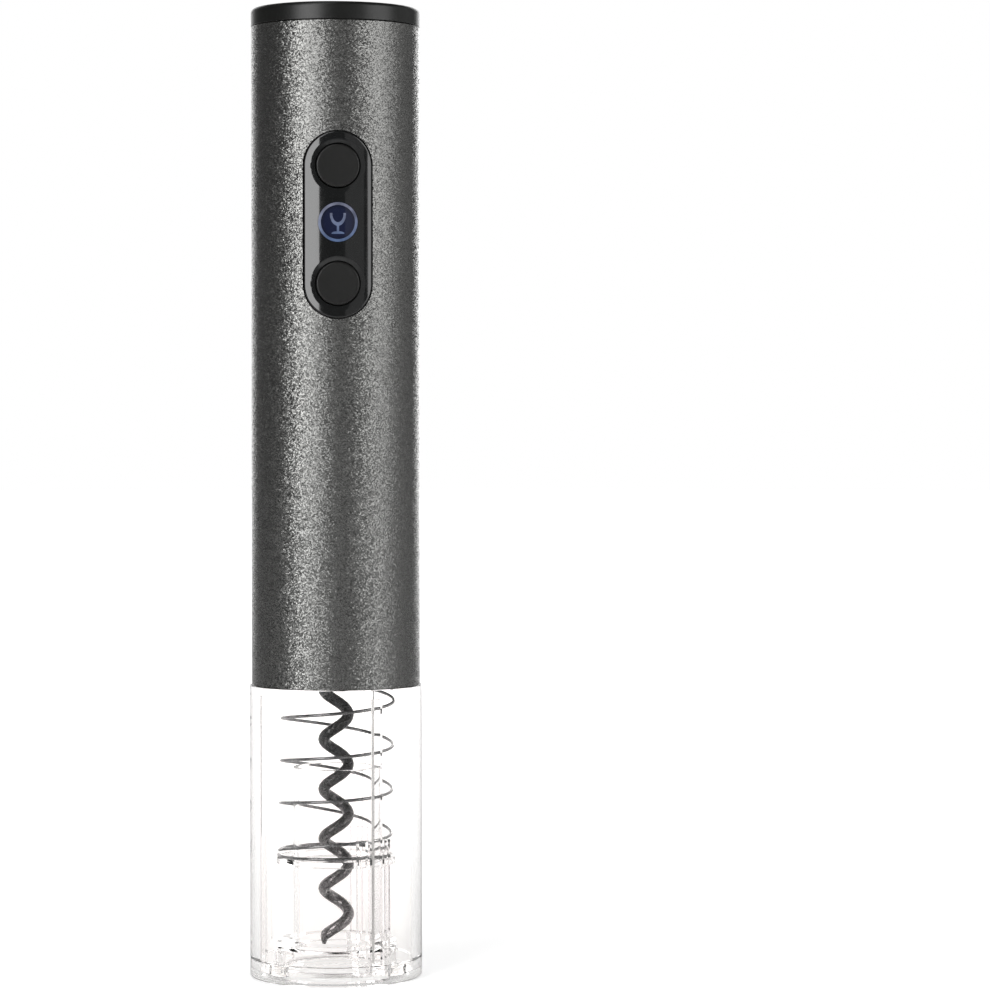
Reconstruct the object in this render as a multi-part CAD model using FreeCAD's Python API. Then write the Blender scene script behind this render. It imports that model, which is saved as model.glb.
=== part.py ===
import FreeCAD, Part
import math
import os

# Cordless electric wine opener, standing upright on its clear base ring.
# Units are millimetres.  +Z is up, the origin is the middle of the footprint, and the control panel
# faces -Y.  Directions round the axis are given as degrees from +X, counter-clockwise from above.

V = FreeCAD.Vector
UP = V(0, 0, 1)
FRONT = V(0, -1, 0)

# ---- driving dimensions ------------------------------------------------------------------------
TOTAL_HEIGHT = 275.5
CAP_HEIGHT = 5.0
CAP_GAP = 0.2
TUBE_RADIUS = 24.0
TUBE_WALL = 1.0
TUBE_BOTTOM = 83.3
SLEEVE_RADIUS = 24.55
SLEEVE_BORE = 21.8
SLEEVE_BOTTOM = 5.3
MOUTH_RADIUS = 15.0
BASE_FLOOR = 2.3
CORK_TUBE_RADIUS = 12.25
CORK_TUBE_BORE = 10.75
CORK_TUBE_TOP = 59.8
BOTTLE_SEAT_RADIUS = 17.2
BOTTLE_SEAT_LEVELS = (8.2, 10.4)
SPRING_SEAT_RADIUS = 17.0
SPRING_SEAT_THICKNESS = 1.9
SHOE_TOP = 40.5

PANEL_WIDTH = 19.0
PANEL_HEIGHT = 52.1
PANEL_MIDDLE = 213.3
PANEL_RADIUS = 24.3
PANEL_GAP = 0.3
PANEL_BACK_RADIUS = 21.9
PANEL_LIP_RADIUS = 22.85
PANEL_LIP_WIDTH = 2.0
DISH_DEPTH = 0.35
BUTTON_PLAY = 0.2
BUTTON_FRONT = -24.42
BUTTON_RADIUS = 6.0
BUTTON_OFFSET = 16.4
BUTTON_TRAVEL = 0.8
LENS_RADIUS = 5.65
LENS_HEIGHT = 214.0

WORM_RADIUS = 3.5
WORM_WIRE = 1.62
WORM_PITCH = 14.25
WORM_PLUS_X_HEIGHT = 17.8
WORM_TIP = V(-3.45, -0.5, 8.3)
WORM_TOP = 89.6

SPRING_RADIUS = 15.95
SPRING_WIRE = 0.45
SPRING_BOTTOM = 34.3
SPRING_TOP = 86.0
SPRING_TURNS = 5

RAIL_ANGLES = (-60, 60, 180)
RAIL_DEPTH = 1.6
RAIL_WIDTH = 2.5
SNAP_ANGLES = (45, 135, 225, 315)

GEAR_MODULE = 0.6
SUN_TEETH = 12
PLANET_TEETH = 15
RING_TEETH = 42
PRESSURE_ANGLE = math.radians(20)
ADDENDUM = 0.52
DEDENDUM = 0.72
BACKLASH_THINNING = 0.03
PLANET_ANGLES = (0, 120, 240)
GEARBOX_RADIUS = 17.0
CARRIER_RADIUS = 11.6
FIRST_STAGE = (112.0, 116.8)
SECOND_STAGE = (103.0, 109.0)
OUTPUT_SHAFT_RADIUS = 3.0
OUTPUT_SHAFT_LEVELS = (91.4, 100.4)
HUB_RADIUS = 6.5
HUB_LEVELS = (84.4, 95.2)

MOTOR_RADIUS = 13.85
MOTOR_SHAFT_RADIUS = 1.15
CELL_RADIUS = 7.1
CELL_LENGTH = 50.4
CELL_NUB = 1.2
CELL_X = 7.6
CELL_Y = 5.0

# ---- heights of the stack inside the tube, from the bottom up --------------------------------------
TUBE_TOP = TOTAL_HEIGHT - CAP_HEIGHT - CAP_GAP
CAP_BOTTOM = TOTAL_HEIGHT - CAP_HEIGHT
TUBE_BORE = TUBE_RADIUS - TUBE_WALL
SPIGOT_TOP = 93.0
SPIGOT_RADIUS = 22.9
SPIGOT_BORE = 21.3
NECK_BOTTOM = 83.8
NECK_TOP = 97.0
NECK_RADIUS = 21.2
NECK_BORE = 12.8
NOSE_TOP = 99.6
RING_TOP = 117.4
MOTOR_BOTTOM = 119.4
MOTOR_TOP = 155.4
ENDCAP_TOP = 157.6
BATTERY_FLOOR = 158.8
BATTERY_FLOOR_TOP = 160.4
CELL_BOTTOM = 163.5
CHASSIS_TOP = 263.0
CHASSIS_RADIUS = 22.7
CHASSIS_BORE = 21.3
SKIRT_BOTTOM = 264.5
SKIRT_RADIUS = 22.8
SKIRT_BORE = 20.6
ORBIT_RADIUS = GEAR_MODULE * (SUN_TEETH + PLANET_TEETH) / 2
BOARD_FRONT = -16.1
BOARD_THICKNESS = 1.6
SWITCH_FACE = BOARD_FRONT - 3.1
BUTTON_BACK = SWITCH_FACE - BUTTON_TRAVEL - 0.05
BUTTON_HEIGHTS = (PANEL_MIDDLE + BUTTON_OFFSET, PANEL_MIDDLE - BUTTON_OFFSET)
GEARBOX_SCREW_ANGLES = (45, 135, 225, 315)
GEARBOX_SCREW_CIRCLE = 15.2
CHASSIS_SCREW_HEIGHTS = (140.0, 250.0)
CHASSIS_SCREW_X = 18.2
BOARD_SCREW_HEIGHTS = (PANEL_MIDDLE - 25.4, PANEL_MIDDLE + 25.4)


# ---- small shape makers --------------------------------------------------------------------------
def polar(radius, degrees, z=0.0):
    angle = math.radians(degrees)
    return V(radius * math.cos(angle), radius * math.sin(angle), z)


def turned(shape, degrees):
    copy = shape.copy()
    copy.rotate(V(0, 0, 0), UP, degrees)
    return copy


def rod(radius, low, high, x=0.0, y=0.0):
    return Part.makeCylinder(radius, high - low, V(x, y, low))


def ring(outer, inner, low, high, x=0.0, y=0.0):
    return rod(outer, low, high, x, y).cut(rod(inner, low - 1, high + 1, x, y))


def block(x, y, z):
    return Part.makeBox(x[1] - x[0], y[1] - y[0], z[1] - z[0], V(x[0], y[0], z[0]))


def pin_along_y(radius, front, back, x, z):
    return Part.makeCylinder(radius, back - front, V(x, front, z), V(0, 1, 0))


def joined(shapes):
    first = shapes[0]
    return first.fuse(shapes[1:]).removeSplitter()


def group(shapes):
    return Part.makeCompound(shapes)


def round_pattern(shape, angles):
    return [turned(shape, angle) for angle in angles]


def stadium(width, height, front, back):
    """An upright stadium in the XZ plane, centred on the panel, filling y from front to back."""
    radius = width / 2
    half = height / 2 - radius
    middle = block((-radius, radius), (front, back), (PANEL_MIDDLE - half, PANEL_MIDDLE + half))
    ends = [pin_along_y(radius, front, back, 0, PANEL_MIDDLE + side * half) for side in (-1, 1)]
    return joined([middle] + ends)


def shell_slice(outer, inner, cutter):
    """The part of an upright tube wall that lies inside a cutter."""
    low = cutter.BoundBox.ZMin - 1
    high = cutter.BoundBox.ZMax + 1
    return ring(outer, inner, low, high).common(cutter)


def countersunk_space(head_radius, head_length, shank_radius, length):
    """What a countersunk screw fills, along +Z, with its flat head face at z = 0."""
    head = Part.makeCone(head_radius, shank_radius, head_length)
    return head.fuse(Part.makeCylinder(shank_radius, length)).removeSplitter()


def with_drive(space, radius, depth):
    """Sinks the round drive recess into the head of a screw drawn along +Z."""
    return space.cut(Part.makeCylinder(radius, depth))


def pan_screw(head_radius, head_length, shank_radius, length):
    """A screw along +Z with its head below z = 0 and its shank above."""
    head = Part.makeCylinder(head_radius, head_length, V(0, 0, -head_length))
    head = head.makeFillet(head_length * 0.4, [head.Edges[2]])
    slot = Part.makeBox(head_radius * 1.2, 0.5, 0.6, V(-head_radius * 0.6, -0.25, -head_length))
    cross = slot.copy()
    cross.rotate(V(0, 0, 0), UP, 90)
    return head.fuse(Part.makeCylinder(shank_radius, length)).removeSplitter().cut(slot).cut(cross)


def placed(shape, base, direction):
    """Moves a shape drawn along +Z so that it starts at base and runs along direction."""
    copy = shape.copy()
    copy.Placement = FreeCAD.Placement(base, FreeCAD.Rotation(UP, direction))
    return copy


def coil(radius, wire, pitch, low, high, start_degrees):
    """A round wire wound right-handed on a cylinder, with flat ends."""
    path = Part.makeHelix(pitch, high - low, radius)
    slope = math.atan2(pitch, 2 * math.pi * radius)
    tangent = V(0, math.cos(slope), math.sin(slope))
    section = Part.Wire(Part.makeCircle(wire, V(radius, 0, 0), tangent))
    solid = Part.Wire(path.Edges).makePipeShell([section], True, True)
    solid.rotate(V(0, 0, 0), UP, start_degrees)
    solid.translate(V(0, 0, low))
    return solid


def lead(radius, points, bend):
    """An insulated lead: straight runs joined by tangent arcs."""
    edges = []
    start = points[0]
    for before, corner, after in zip(points, points[1:], points[2:]):
        inward = (corner - before).normalize()
        outward = (after - corner).normalize()
        turn = inward.getAngle(outward)
        reach = bend * math.tan(turn / 2)
        arc_start = corner - inward * reach
        arc_end = corner + outward * reach
        to_centre = (outward - inward).normalize()
        arc_middle = corner + to_centre * (bend / math.cos(turn / 2) - bend)
        edges.append(Part.makeLine(start, arc_start))
        edges.append(Part.Arc(arc_start, arc_middle, arc_end).toShape())
        start = arc_end
    edges.append(Part.makeLine(start, points[-1]))
    direction = (points[1] - points[0]).normalize()
    section = Part.Wire(Part.makeCircle(radius, points[0], direction))
    return Part.Wire(edges).makePipeShell([section], True, False)


# ---- involute gears ------------------------------------------------------------------------------
def involute(angle):
    return math.tan(angle) - angle


def gear_face(teeth, addendum, dedendum, thinning):
    """A gear outline with a tooth centred on +X.  Each flank is the arc through three involute points."""
    pitch_radius = GEAR_MODULE * teeth / 2
    base_radius = pitch_radius * math.cos(PRESSURE_ANGLE)
    tip = pitch_radius + addendum
    root = pitch_radius - dedendum
    flank_start = max(base_radius, root)
    flank_middle = (flank_start + tip) / 2
    half_at_pitch = math.pi / 2 / teeth - thinning / pitch_radius

    def half_angle(radius):
        return half_at_pitch + involute(PRESSURE_ANGLE) - involute(math.acos(min(1.0, base_radius / radius)))

    def point(radius, angle):
        return V(radius * math.cos(angle), radius * math.sin(angle), 0)

    edges = []
    for tooth in range(teeth):
        centre = 2 * math.pi * tooth / teeth
        following = centre + 2 * math.pi / teeth
        start, middle, end = half_angle(flank_start), half_angle(flank_middle), half_angle(tip)
        if root < flank_start:
            edges.append(Part.LineSegment(point(root, centre - start), point(flank_start, centre - start)))
        edges.append(Part.Arc(point(flank_start, centre - start), point(flank_middle, centre - middle),
                              point(tip, centre - end)))
        edges.append(Part.Arc(point(tip, centre - end), point(tip, centre), point(tip, centre + end)))
        edges.append(Part.Arc(point(tip, centre + end), point(flank_middle, centre + middle),
                              point(flank_start, centre + start)))
        if root < flank_start:
            edges.append(Part.LineSegment(point(flank_start, centre + start), point(root, centre + start)))
        edges.append(Part.Arc(point(root, centre + start), point(root, (centre + following) / 2),
                              point(root, following - start)))
    return Part.Face(Part.Wire([edge.toShape() for edge in edges]))


def gear(teeth, low, high):
    blank = gear_face(teeth, ADDENDUM, DEDENDUM, BACKLASH_THINNING).extrude(V(0, 0, high - low))
    blank.translate(V(0, 0, low))
    return blank


def planet_gear(low, high, bore, angle):
    wheel = gear(PLANET_TEETH, low, high).cut(rod(bore, low - 1, high + 1))
    wheel.translate(V(ORBIT_RADIUS, 0, 0))
    return turned(wheel, angle)


# ---- outer casing --------------------------------------------------------------------------------
def outer_tube():
    tube = ring(TUBE_RADIUS, TUBE_BORE, TUBE_BOTTOM, TUBE_TOP)
    window = stadium(PANEL_WIDTH + 2 * PANEL_GAP, PANEL_HEIGHT + 2 * PANEL_GAP, -TUBE_RADIUS - 1, -10)
    return tube.cut(window)


def control_panel():
    """A curved moulding pushed out through the tube's window, with a lip behind the tube wall."""
    lip_outline = stadium(PANEL_WIDTH + 2 * PANEL_LIP_WIDTH, PANEL_HEIGHT + 2 * PANEL_LIP_WIDTH, -26, -12)
    face = shell_slice(PANEL_RADIUS, PANEL_BACK_RADIUS, stadium(PANEL_WIDTH, PANEL_HEIGHT, -26, -12))
    lip = shell_slice(PANEL_LIP_RADIUS, PANEL_BACK_RADIUS, lip_outline)
    bosses = [pin_along_y(1.9, -22.3, BOARD_FRONT, 0, height) for height in BOARD_SCREW_HEIGHTS]
    panel = joined([face, lip] + bosses)
    for height in BUTTON_HEIGHTS:
        dish = pin_along_y(BUTTON_RADIUS + 1.1, -26, -20, 0, height)
        dish = dish.cut(rod(PANEL_RADIUS - DISH_DEPTH, height - 10, height + 10))
        panel = panel.cut(dish).cut(pin_along_y(BUTTON_RADIUS + BUTTON_PLAY, -26, -10, 0, height))
    panel = panel.cut(pin_along_y(LENS_RADIUS + 0.05, -26, -10, 0, LENS_HEIGHT))
    for height in BOARD_SCREW_HEIGHTS:
        panel = panel.cut(pin_along_y(0.9, BOARD_FRONT - 4.0, BOARD_FRONT + 1, 0, height))
    return panel


def light_lens():
    """The translucent plug between the buttons that spreads the light of the board's lamps."""
    plug = pin_along_y(LENS_RADIUS, -26, -12, 0, LENS_HEIGHT)
    return shell_slice(PANEL_RADIUS - 0.05, PANEL_BACK_RADIUS, plug)


def push_button(height):
    """A round key with a rounded rim, and a flange that keeps it behind the panel."""
    flange_front = BUTTON_BACK - 0.6
    head = pin_along_y(BUTTON_RADIUS, BUTTON_FRONT, flange_front, 0, height)
    rim = [edge for edge in head.Edges if abs(edge.BoundBox.YMax - BUTTON_FRONT) < 0.01]
    head = head.makeFillet(0.35, rim)
    flange = pin_along_y(BUTTON_RADIUS + 0.7, flange_front, BUTTON_BACK, 0, height)
    return joined([head, flange])


def switch_plunger(height):
    return pin_along_y(1.7, SWITCH_FACE - BUTTON_TRAVEL, SWITCH_FACE + 1.3, 0, height)


def top_cap():
    """A push-fit cap: crown, skirt with a seal groove, and ribs that carry the battery contact."""
    crown = rod(TUBE_RADIUS, CAP_BOTTOM, TOTAL_HEIGHT)
    rim = [edge for edge in crown.Edges if abs(edge.BoundBox.ZMin - TOTAL_HEIGHT) < 0.01]
    crown = crown.makeFillet(1.2, rim)
    hollow = rod(21.0, CAP_BOTTOM - 1, TOTAL_HEIGHT - 2.4)
    skirt = ring(SKIRT_RADIUS, SKIRT_BORE, SKIRT_BOTTOM, CAP_BOTTOM + 1.5)
    groove = ring(SKIRT_RADIUS + 1, 21.4, 266.95, 268.65)
    long_ribs = [block((-20.8, 20.8), (y - 0.6, y + 0.6), (268.0, 273.5)) for y in (-8.0, 5.0)]
    cross_ribs = [block((x - 0.6, x + 0.6), (-17, 17), (268.0, 273.5)) for x in (-CELL_X, 0, CELL_X)]
    ribs = joined(long_ribs + cross_ribs).common(rod(20.9, 267, 274))
    return joined([crown.cut(hollow), skirt.cut(groove), ribs])


def cap_seal():
    return Part.makeTorus(22.2, 0.7, V(0, 0, 267.8))


# ---- clear lower housing ---------------------------------------------------------------------------
def clear_sleeve():
    """The clear window tube with its spigot, three guide rails and four snap tabs."""
    wall = ring(SLEEVE_RADIUS, SLEEVE_BORE, SLEEVE_BOTTOM, TUBE_BOTTOM)
    shoulder = ring(SPIGOT_RADIUS, SPIGOT_BORE, TUBE_BOTTOM - 2.5, SPIGOT_TOP)
    rail = block((SLEEVE_BORE - RAIL_DEPTH, SLEEVE_BORE + 0.5), (-RAIL_WIDTH / 2, RAIL_WIDTH / 2),
                 (SLEEVE_BOTTOM, TUBE_BOTTOM - 3))
    tab = block((22.55, 23.55), (-2.9, 2.9), (2.6, SLEEVE_BOTTOM + 0.5))
    barb = block((23.5, 24.2), (-2.7, 2.7), (3.3, 4.5))
    sleeve = joined([wall, shoulder] + round_pattern(rail, RAIL_ANGLES)
                    + round_pattern(joined([tab, barb]), SNAP_ANGLES))
    return sleeve.cut(group(radial(sleeve_screw_space())))


def sleeve_screw_space():
    return countersunk_space(1.9, 1.15, 0.95, 4.9)


def radial(shape):
    """Three copies that point inwards through the spigot into the neck ring."""
    return [placed(shape, polar(SPIGOT_RADIUS, angle, 89.0), polar(-1, angle)) for angle in (0, 120, 240)]


def sleeve_screw_solids():
    return radial(with_drive(sleeve_screw_space(), 0.7, 0.8))


def base_ring():
    """The clear ring that the opener stands on, with the bottle mouth and four snap windows."""
    floor = ring(SLEEVE_RADIUS, MOUTH_RADIUS, 0, BASE_FLOOR)
    wall = ring(SLEEVE_RADIUS, SLEEVE_BORE, BASE_FLOOR, SLEEVE_BOTTOM)
    body = joined([floor, wall])
    pocket = block((22.35, 23.75), (-3.15, 3.15), (BASE_FLOOR, SLEEVE_BOTTOM + 1))
    window = block((23.0, 25.5), (-3.0, 3.0), (3.1, 4.7))
    for angle in SNAP_ANGLES:
        body = body.cut(turned(pocket, angle)).cut(turned(window, angle))
    lead_in = Part.makeCone(MOUTH_RADIUS + 0.5, MOUTH_RADIUS, 0.5)
    foot_edge = ring(SLEEVE_RADIUS + 1, SLEEVE_RADIUS - 0.45, -1, 0.45)
    foot_edge = foot_edge.cut(Part.makeCone(SLEEVE_RADIUS - 0.45, SLEEVE_RADIUS, 0.45))
    return body.cut(lead_in).cut(foot_edge)


def cork_carriage():
    """The clear sliding guide: bottle seat, cork tube, spring seat and three shoes on the rails."""
    bottom = BASE_FLOOR + 0.3
    seat_bottom, seat_top = BOTTLE_SEAT_LEVELS
    cork_tube = ring(CORK_TUBE_RADIUS, CORK_TUBE_BORE, seat_bottom, CORK_TUBE_TOP)
    bottle_seat = ring(BOTTLE_SEAT_RADIUS, CORK_TUBE_BORE, seat_bottom, seat_top)
    bell = ring(BOTTLE_SEAT_RADIUS, 15.3, bottom, seat_bottom)
    spring_seat_bottom = SPRING_BOTTOM - SPRING_SEAT_THICKNESS
    spring_seat = ring(SPRING_SEAT_RADIUS, CORK_TUBE_BORE, spring_seat_bottom, SPRING_BOTTOM)
    plate = block((18.4, 19.9), (-5, 5), (bottom, SHOE_TOP))
    web = block((16.6, 18.6), (-5, 5), (bottom, seat_top))
    cheeks = [block((19.8, 21.3), (side * 2.3 - 0.6, side * 2.3 + 0.6), (bottom, SHOE_TOP))
              for side in (-1, 1)]
    shoe = joined([plate, web] + cheeks)
    return joined([cork_tube, bottle_seat, bell, spring_seat] + round_pattern(shoe, RAIL_ANGLES))


def return_spring():
    """A compression spring between the carriage's spring seat and the neck ring."""
    low = SPRING_BOTTOM + SPRING_WIRE + 0.02
    high = SPRING_TOP - SPRING_WIRE - 0.02
    return coil(SPRING_RADIUS, SPRING_WIRE, (high - low) / SPRING_TURNS, low, high, 180)


# ---- worm and its drive hub ------------------------------------------------------------------------
def worm():
    """The corkscrew wire, with a ground point that turns straight down."""
    start_turn = -140.0 / 360.0
    low = WORM_PLUS_X_HEIGHT + start_turn * WORM_PITCH
    turns = coil(WORM_RADIUS, WORM_WIRE, WORM_PITCH, low, WORM_TOP, start_turn * 360)
    start = polar(WORM_RADIUS, start_turn * 360, low)
    slope = math.atan2(WORM_PITCH, 2 * math.pi * WORM_RADIUS)
    along = polar(math.cos(slope), start_turn * 360 - 90, -math.sin(slope))
    path = Part.BezierCurve()
    path.setPoles([start, start + along * 1.6, WORM_TIP + UP * 2.2, WORM_TIP])
    sections = []
    steps = 7
    for step in range(steps + 1):
        share = step / steps
        radius = WORM_WIRE * (1 - share) ** 0.62 + 0.12 * share
        tangent = along if step == 0 else path.tangent(share)[0]
        sections.append(Part.Wire(Part.makeCircle(radius, path.value(share), tangent)))
    point = Part.makeLoft(sections, True)
    return turns.fuse(point)


def output_shaft():
    """The second carrier's shaft, with a flat for the hub's set screw."""
    shaft = rod(OUTPUT_SHAFT_RADIUS, *OUTPUT_SHAFT_LEVELS)
    flat = block((2.5, 4), (-4, 4), (90, HUB_LEVELS[1]))
    return shaft.cut(flat)


def worm_hub(worm_shape):
    """The collar moulded round the worm's top turn and fixed on the flat of the output shaft."""
    collar = rod(HUB_RADIUS, *HUB_LEVELS)
    rims = [edge for edge in collar.Edges if edge.Closed and edge.BoundBox.ZLength < 0.01]
    collar = collar.makeFillet(0.6, rims)
    return collar.cut(worm_shape).cut(output_shaft()).cut(hub_set_screw())


def hub_set_screw():
    screw = Part.makeCylinder(1.25, 3.9, V(2.5, 0, 93.2), V(1, 0, 0))
    socket = Part.makeCylinder(0.6, 1.5, V(5.0, 0, 93.2), V(1, 0, 0))
    return screw.cut(socket)


# ---- gearbox -------------------------------------------------------------------------------------
def second_carrier():
    disc = rod(CARRIER_RADIUS, 100.3, 102.5)
    body = joined([disc, output_shaft()])
    return body.cut(group(second_carrier_pin_solids()))


def second_carrier_pin_solids():
    return [rod(1.25, 100.5, 109.3, *polar(ORBIT_RADIUS, angle)[:2]) for angle in PLANET_ANGLES]


def first_carrier():
    """The first stage's carrier, cut in one piece with the second stage's sun gear."""
    disc = rod(CARRIER_RADIUS, 109.7, 111.7)
    sun = gear(SUN_TEETH, 102.9, 109.8)
    return joined([disc, sun]).cut(group(first_carrier_pin_solids()))


def first_carrier_pin_solids():
    return [rod(1.0, 109.9, 117.0, *polar(ORBIT_RADIUS, angle)[:2]) for angle in PLANET_ANGLES]


def ring_gear():
    """One long internal gear for both stages, which is also the gearbox's case."""
    cutter = gear_face(RING_TEETH, DEDENDUM, ADDENDUM, -BACKLASH_THINNING).extrude(V(0, 0, 30))
    cutter.translate(V(0, 0, 95))
    case = rod(GEARBOX_RADIUS, NOSE_TOP, RING_TOP).cut(cutter)
    return case.cut(group(gearbox_screw_solids()))


def gearbox_screw_solids():
    screw = pan_screw(2.0, 1.4, 1.1, 25.0)
    return [placed(screw, polar(GEARBOX_SCREW_CIRCLE, angle, 94.0), UP) for angle in GEARBOX_SCREW_ANGLES]


def nose_plate():
    plate = ring(GEARBOX_RADIUS, 4.6, NECK_TOP, NOSE_TOP)
    return plate.cut(group(gearbox_screw_solids()))


def output_bush():
    bore = OUTPUT_SHAFT_RADIUS + 0.05
    barrel = ring(4.6, bore, 95.6, NOSE_TOP)
    flange = ring(6.4, bore, NOSE_TOP, 100.1)
    return joined([barrel, flange])


def neck_ring():
    """The moulded ring that joins gearbox and sleeve and seats the top of the return spring."""
    body = ring(NECK_RADIUS, NECK_BORE, NECK_BOTTOM, NECK_TOP)
    spring_groove = ring(17.2, 14.6, NECK_BOTTOM - 1, SPRING_TOP)
    body = body.cut(spring_groove)
    for angle in GEARBOX_SCREW_ANGLES:
        x, y = polar(GEARBOX_SCREW_CIRCLE, angle)[:2]
        body = body.cut(rod(2.3, NECK_BOTTOM - 1, 94.0, x, y)).cut(rod(1.15, 93, NECK_TOP + 1, x, y))
    return body.cut(group(radial(sleeve_screw_space())))


def motor_mount_plate():
    plate = ring(GEARBOX_RADIUS, 5.2, RING_TOP, MOTOR_BOTTOM)
    return plate.cut(group(gearbox_screw_solids() + motor_screw_spaces()))


def motor_screw_spaces():
    screw = countersunk_space(2.4, 1.2, 1.25, 4.5)
    return [placed(screw, V(x, 0, RING_TOP), UP) for x in (-8.0, 8.0)]


def motor_screw_solids():
    screw = with_drive(countersunk_space(2.4, 1.2, 1.25, 4.5), 0.7, 0.8)
    return [placed(screw, V(x, 0, RING_TOP), UP) for x in (-8.0, 8.0)]


# ---- motor ---------------------------------------------------------------------------------------
def motor_can():
    can = rod(MOTOR_RADIUS, MOTOR_BOTTOM, MOTOR_TOP)
    lower_rim = [edge for edge in can.Edges if abs(edge.BoundBox.ZMax - MOTOR_BOTTOM) < 0.01]
    can = can.makeFillet(1.0, lower_rim)
    can = can.cut(rod(MOTOR_RADIUS - 1, MOTOR_BOTTOM + 1, MOTOR_TOP + 1))
    hub = rod(5.0, 117.8, MOTOR_BOTTOM + 0.5)
    return joined([can, hub]).cut(rod(3.6, 117, 125)).cut(group(motor_screw_spaces()))


def motor_endcap():
    disc = rod(MOTOR_RADIUS, MOTOR_TOP, ENDCAP_TOP)
    spigot = ring(MOTOR_RADIUS - 1, 11.2, MOTOR_TOP - 2, MOTOR_TOP)
    holders = [block((side * 7.4 - 2.4, side * 7.4 + 2.4), (-2.4, 2.4), (151.2, MOTOR_TOP))
               for side in (-1, 1)]
    cap = joined([disc, spigot] + holders)
    return cap.cut(rod(3.6, 150, 160)).cut(group(motor_brush_solids()))


def motor_brush_solids():
    blocks = []
    for side in (-1, 1):
        inner, outer = sorted((side * 3.3, side * 7.5))
        blocks.append(block((inner, outer), (-1.2, 1.2), (151.8, 153.8)))
    return blocks


def motor_bush_solids():
    return [ring(3.6, MOTOR_SHAFT_RADIUS + 0.03, 117.8, 121.6),
            ring(3.6, MOTOR_SHAFT_RADIUS + 0.03, 154.6, ENDCAP_TOP)]


def motor_magnet_solids():
    arc = ring(MOTOR_RADIUS - 1.05, 10.3, 125, 150)
    return [arc.common(block((-9, 9), (9 * side - 8.6, 9 * side + 8.6), (120, 155))) for side in (-1, 1)]


def motor_shaft():
    return rod(MOTOR_SHAFT_RADIUS, 111.9, 157.4)


def armature_slot(radius, low, high):
    channel = rod(radius, low, high, 7.0, 0)
    return round_pattern(channel, range(36, 396, 72))


def armature_core():
    """A stack of steel stampings with five winding slots."""
    core = ring(9.8, MOTOR_SHAFT_RADIUS, 129, 147)
    mouth = block((7, 11), (-0.5, 0.5), (128, 148))
    return core.cut(group(armature_slot(1.7, 128, 148) + round_pattern(mouth, range(36, 396, 72))))


def armature_windings():
    lower = ring(8.8, 3.2, 125.4, 129.0)
    upper = ring(8.8, 3.2, 147.0, 150.2)
    return joined([lower, upper] + armature_slot(1.7, 129.0, 147.0))


def commutator():
    drum = ring(3.2, MOTOR_SHAFT_RADIUS, 150.9, 154.2)
    slit = block((2.6, 4), (-0.15, 0.15), (150, 155))
    return drum.cut(group(round_pattern(slit, range(0, 360, 72))))


def motor_pinion():
    return gear(SUN_TEETH, 112.1, 117.0).cut(rod(MOTOR_SHAFT_RADIUS, 111, 118))


# ---- batteries and their contacts ------------------------------------------------------------------
def aa_cell(x, level, nub_up):
    bottom = CELL_BOTTOM + level * (CELL_LENGTH + 0.1)
    top = bottom + CELL_LENGTH
    can = (bottom, top - CELL_NUB) if nub_up else (bottom + CELL_NUB, top)
    nub = (top - CELL_NUB - 0.5, top) if nub_up else (bottom, bottom + CELL_NUB + 0.5)
    body = rod(CELL_RADIUS, can[0], can[1], x, CELL_Y)
    rims = [edge for edge in body.Edges if edge.Closed and edge.BoundBox.ZLength < 0.01]
    body = body.makeFillet(0.5, rims)
    return joined([body, rod(2.7, nub[0], nub[1], x, CELL_Y)])


def contact_spring(x, low, high):
    spring = coil(3.0, 0.3, 0.8, low + 0.32, high - 0.34, 0)
    spring.translate(V(x, CELL_Y, 0))
    return spring


def lower_contact_solids():
    """Two plated strips on the battery floor: a coil for a flat end and a stud for a nub."""
    strips = []
    strip_levels = (BATTERY_FLOOR_TOP, BATTERY_FLOOR_TOP + 0.4)
    for x in (-CELL_X, CELL_X):
        pad = block((x - 5, x + 5), (CELL_Y - 4.5, CELL_Y + 4.5), strip_levels)
        tab = block((x - 1.5, x + 1.5), (-6, CELL_Y), strip_levels)
        strips.append(joined([pad, tab]))
    spring = contact_spring(-CELL_X, BATTERY_FLOOR_TOP + 0.45, CELL_BOTTOM)
    stud = Part.makeCone(3.2, 2.0, CELL_BOTTOM - 0.1 - BATTERY_FLOOR_TOP - 0.4,
                         V(CELL_X, CELL_Y, BATTERY_FLOOR_TOP + 0.4))
    return [strips[0], spring, joined([strips[1], stud])]


def upper_contact_solids():
    """The bridge under the cap that joins the two columns of cells, and its coil."""
    cell_top = CELL_BOTTOM + 2 * CELL_LENGTH + 0.1
    bridge = block((-12.6, 12.6), (CELL_Y - 4.5, CELL_Y + 4.5), (267.6, 268.0))
    stud = Part.makeCone(2.0, 3.2, 267.6 - cell_top - 0.1, V(-CELL_X, CELL_Y, cell_top + 0.1))
    return [joined([bridge, stud]), contact_spring(CELL_X, cell_top + 0.15, 267.6)]


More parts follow.
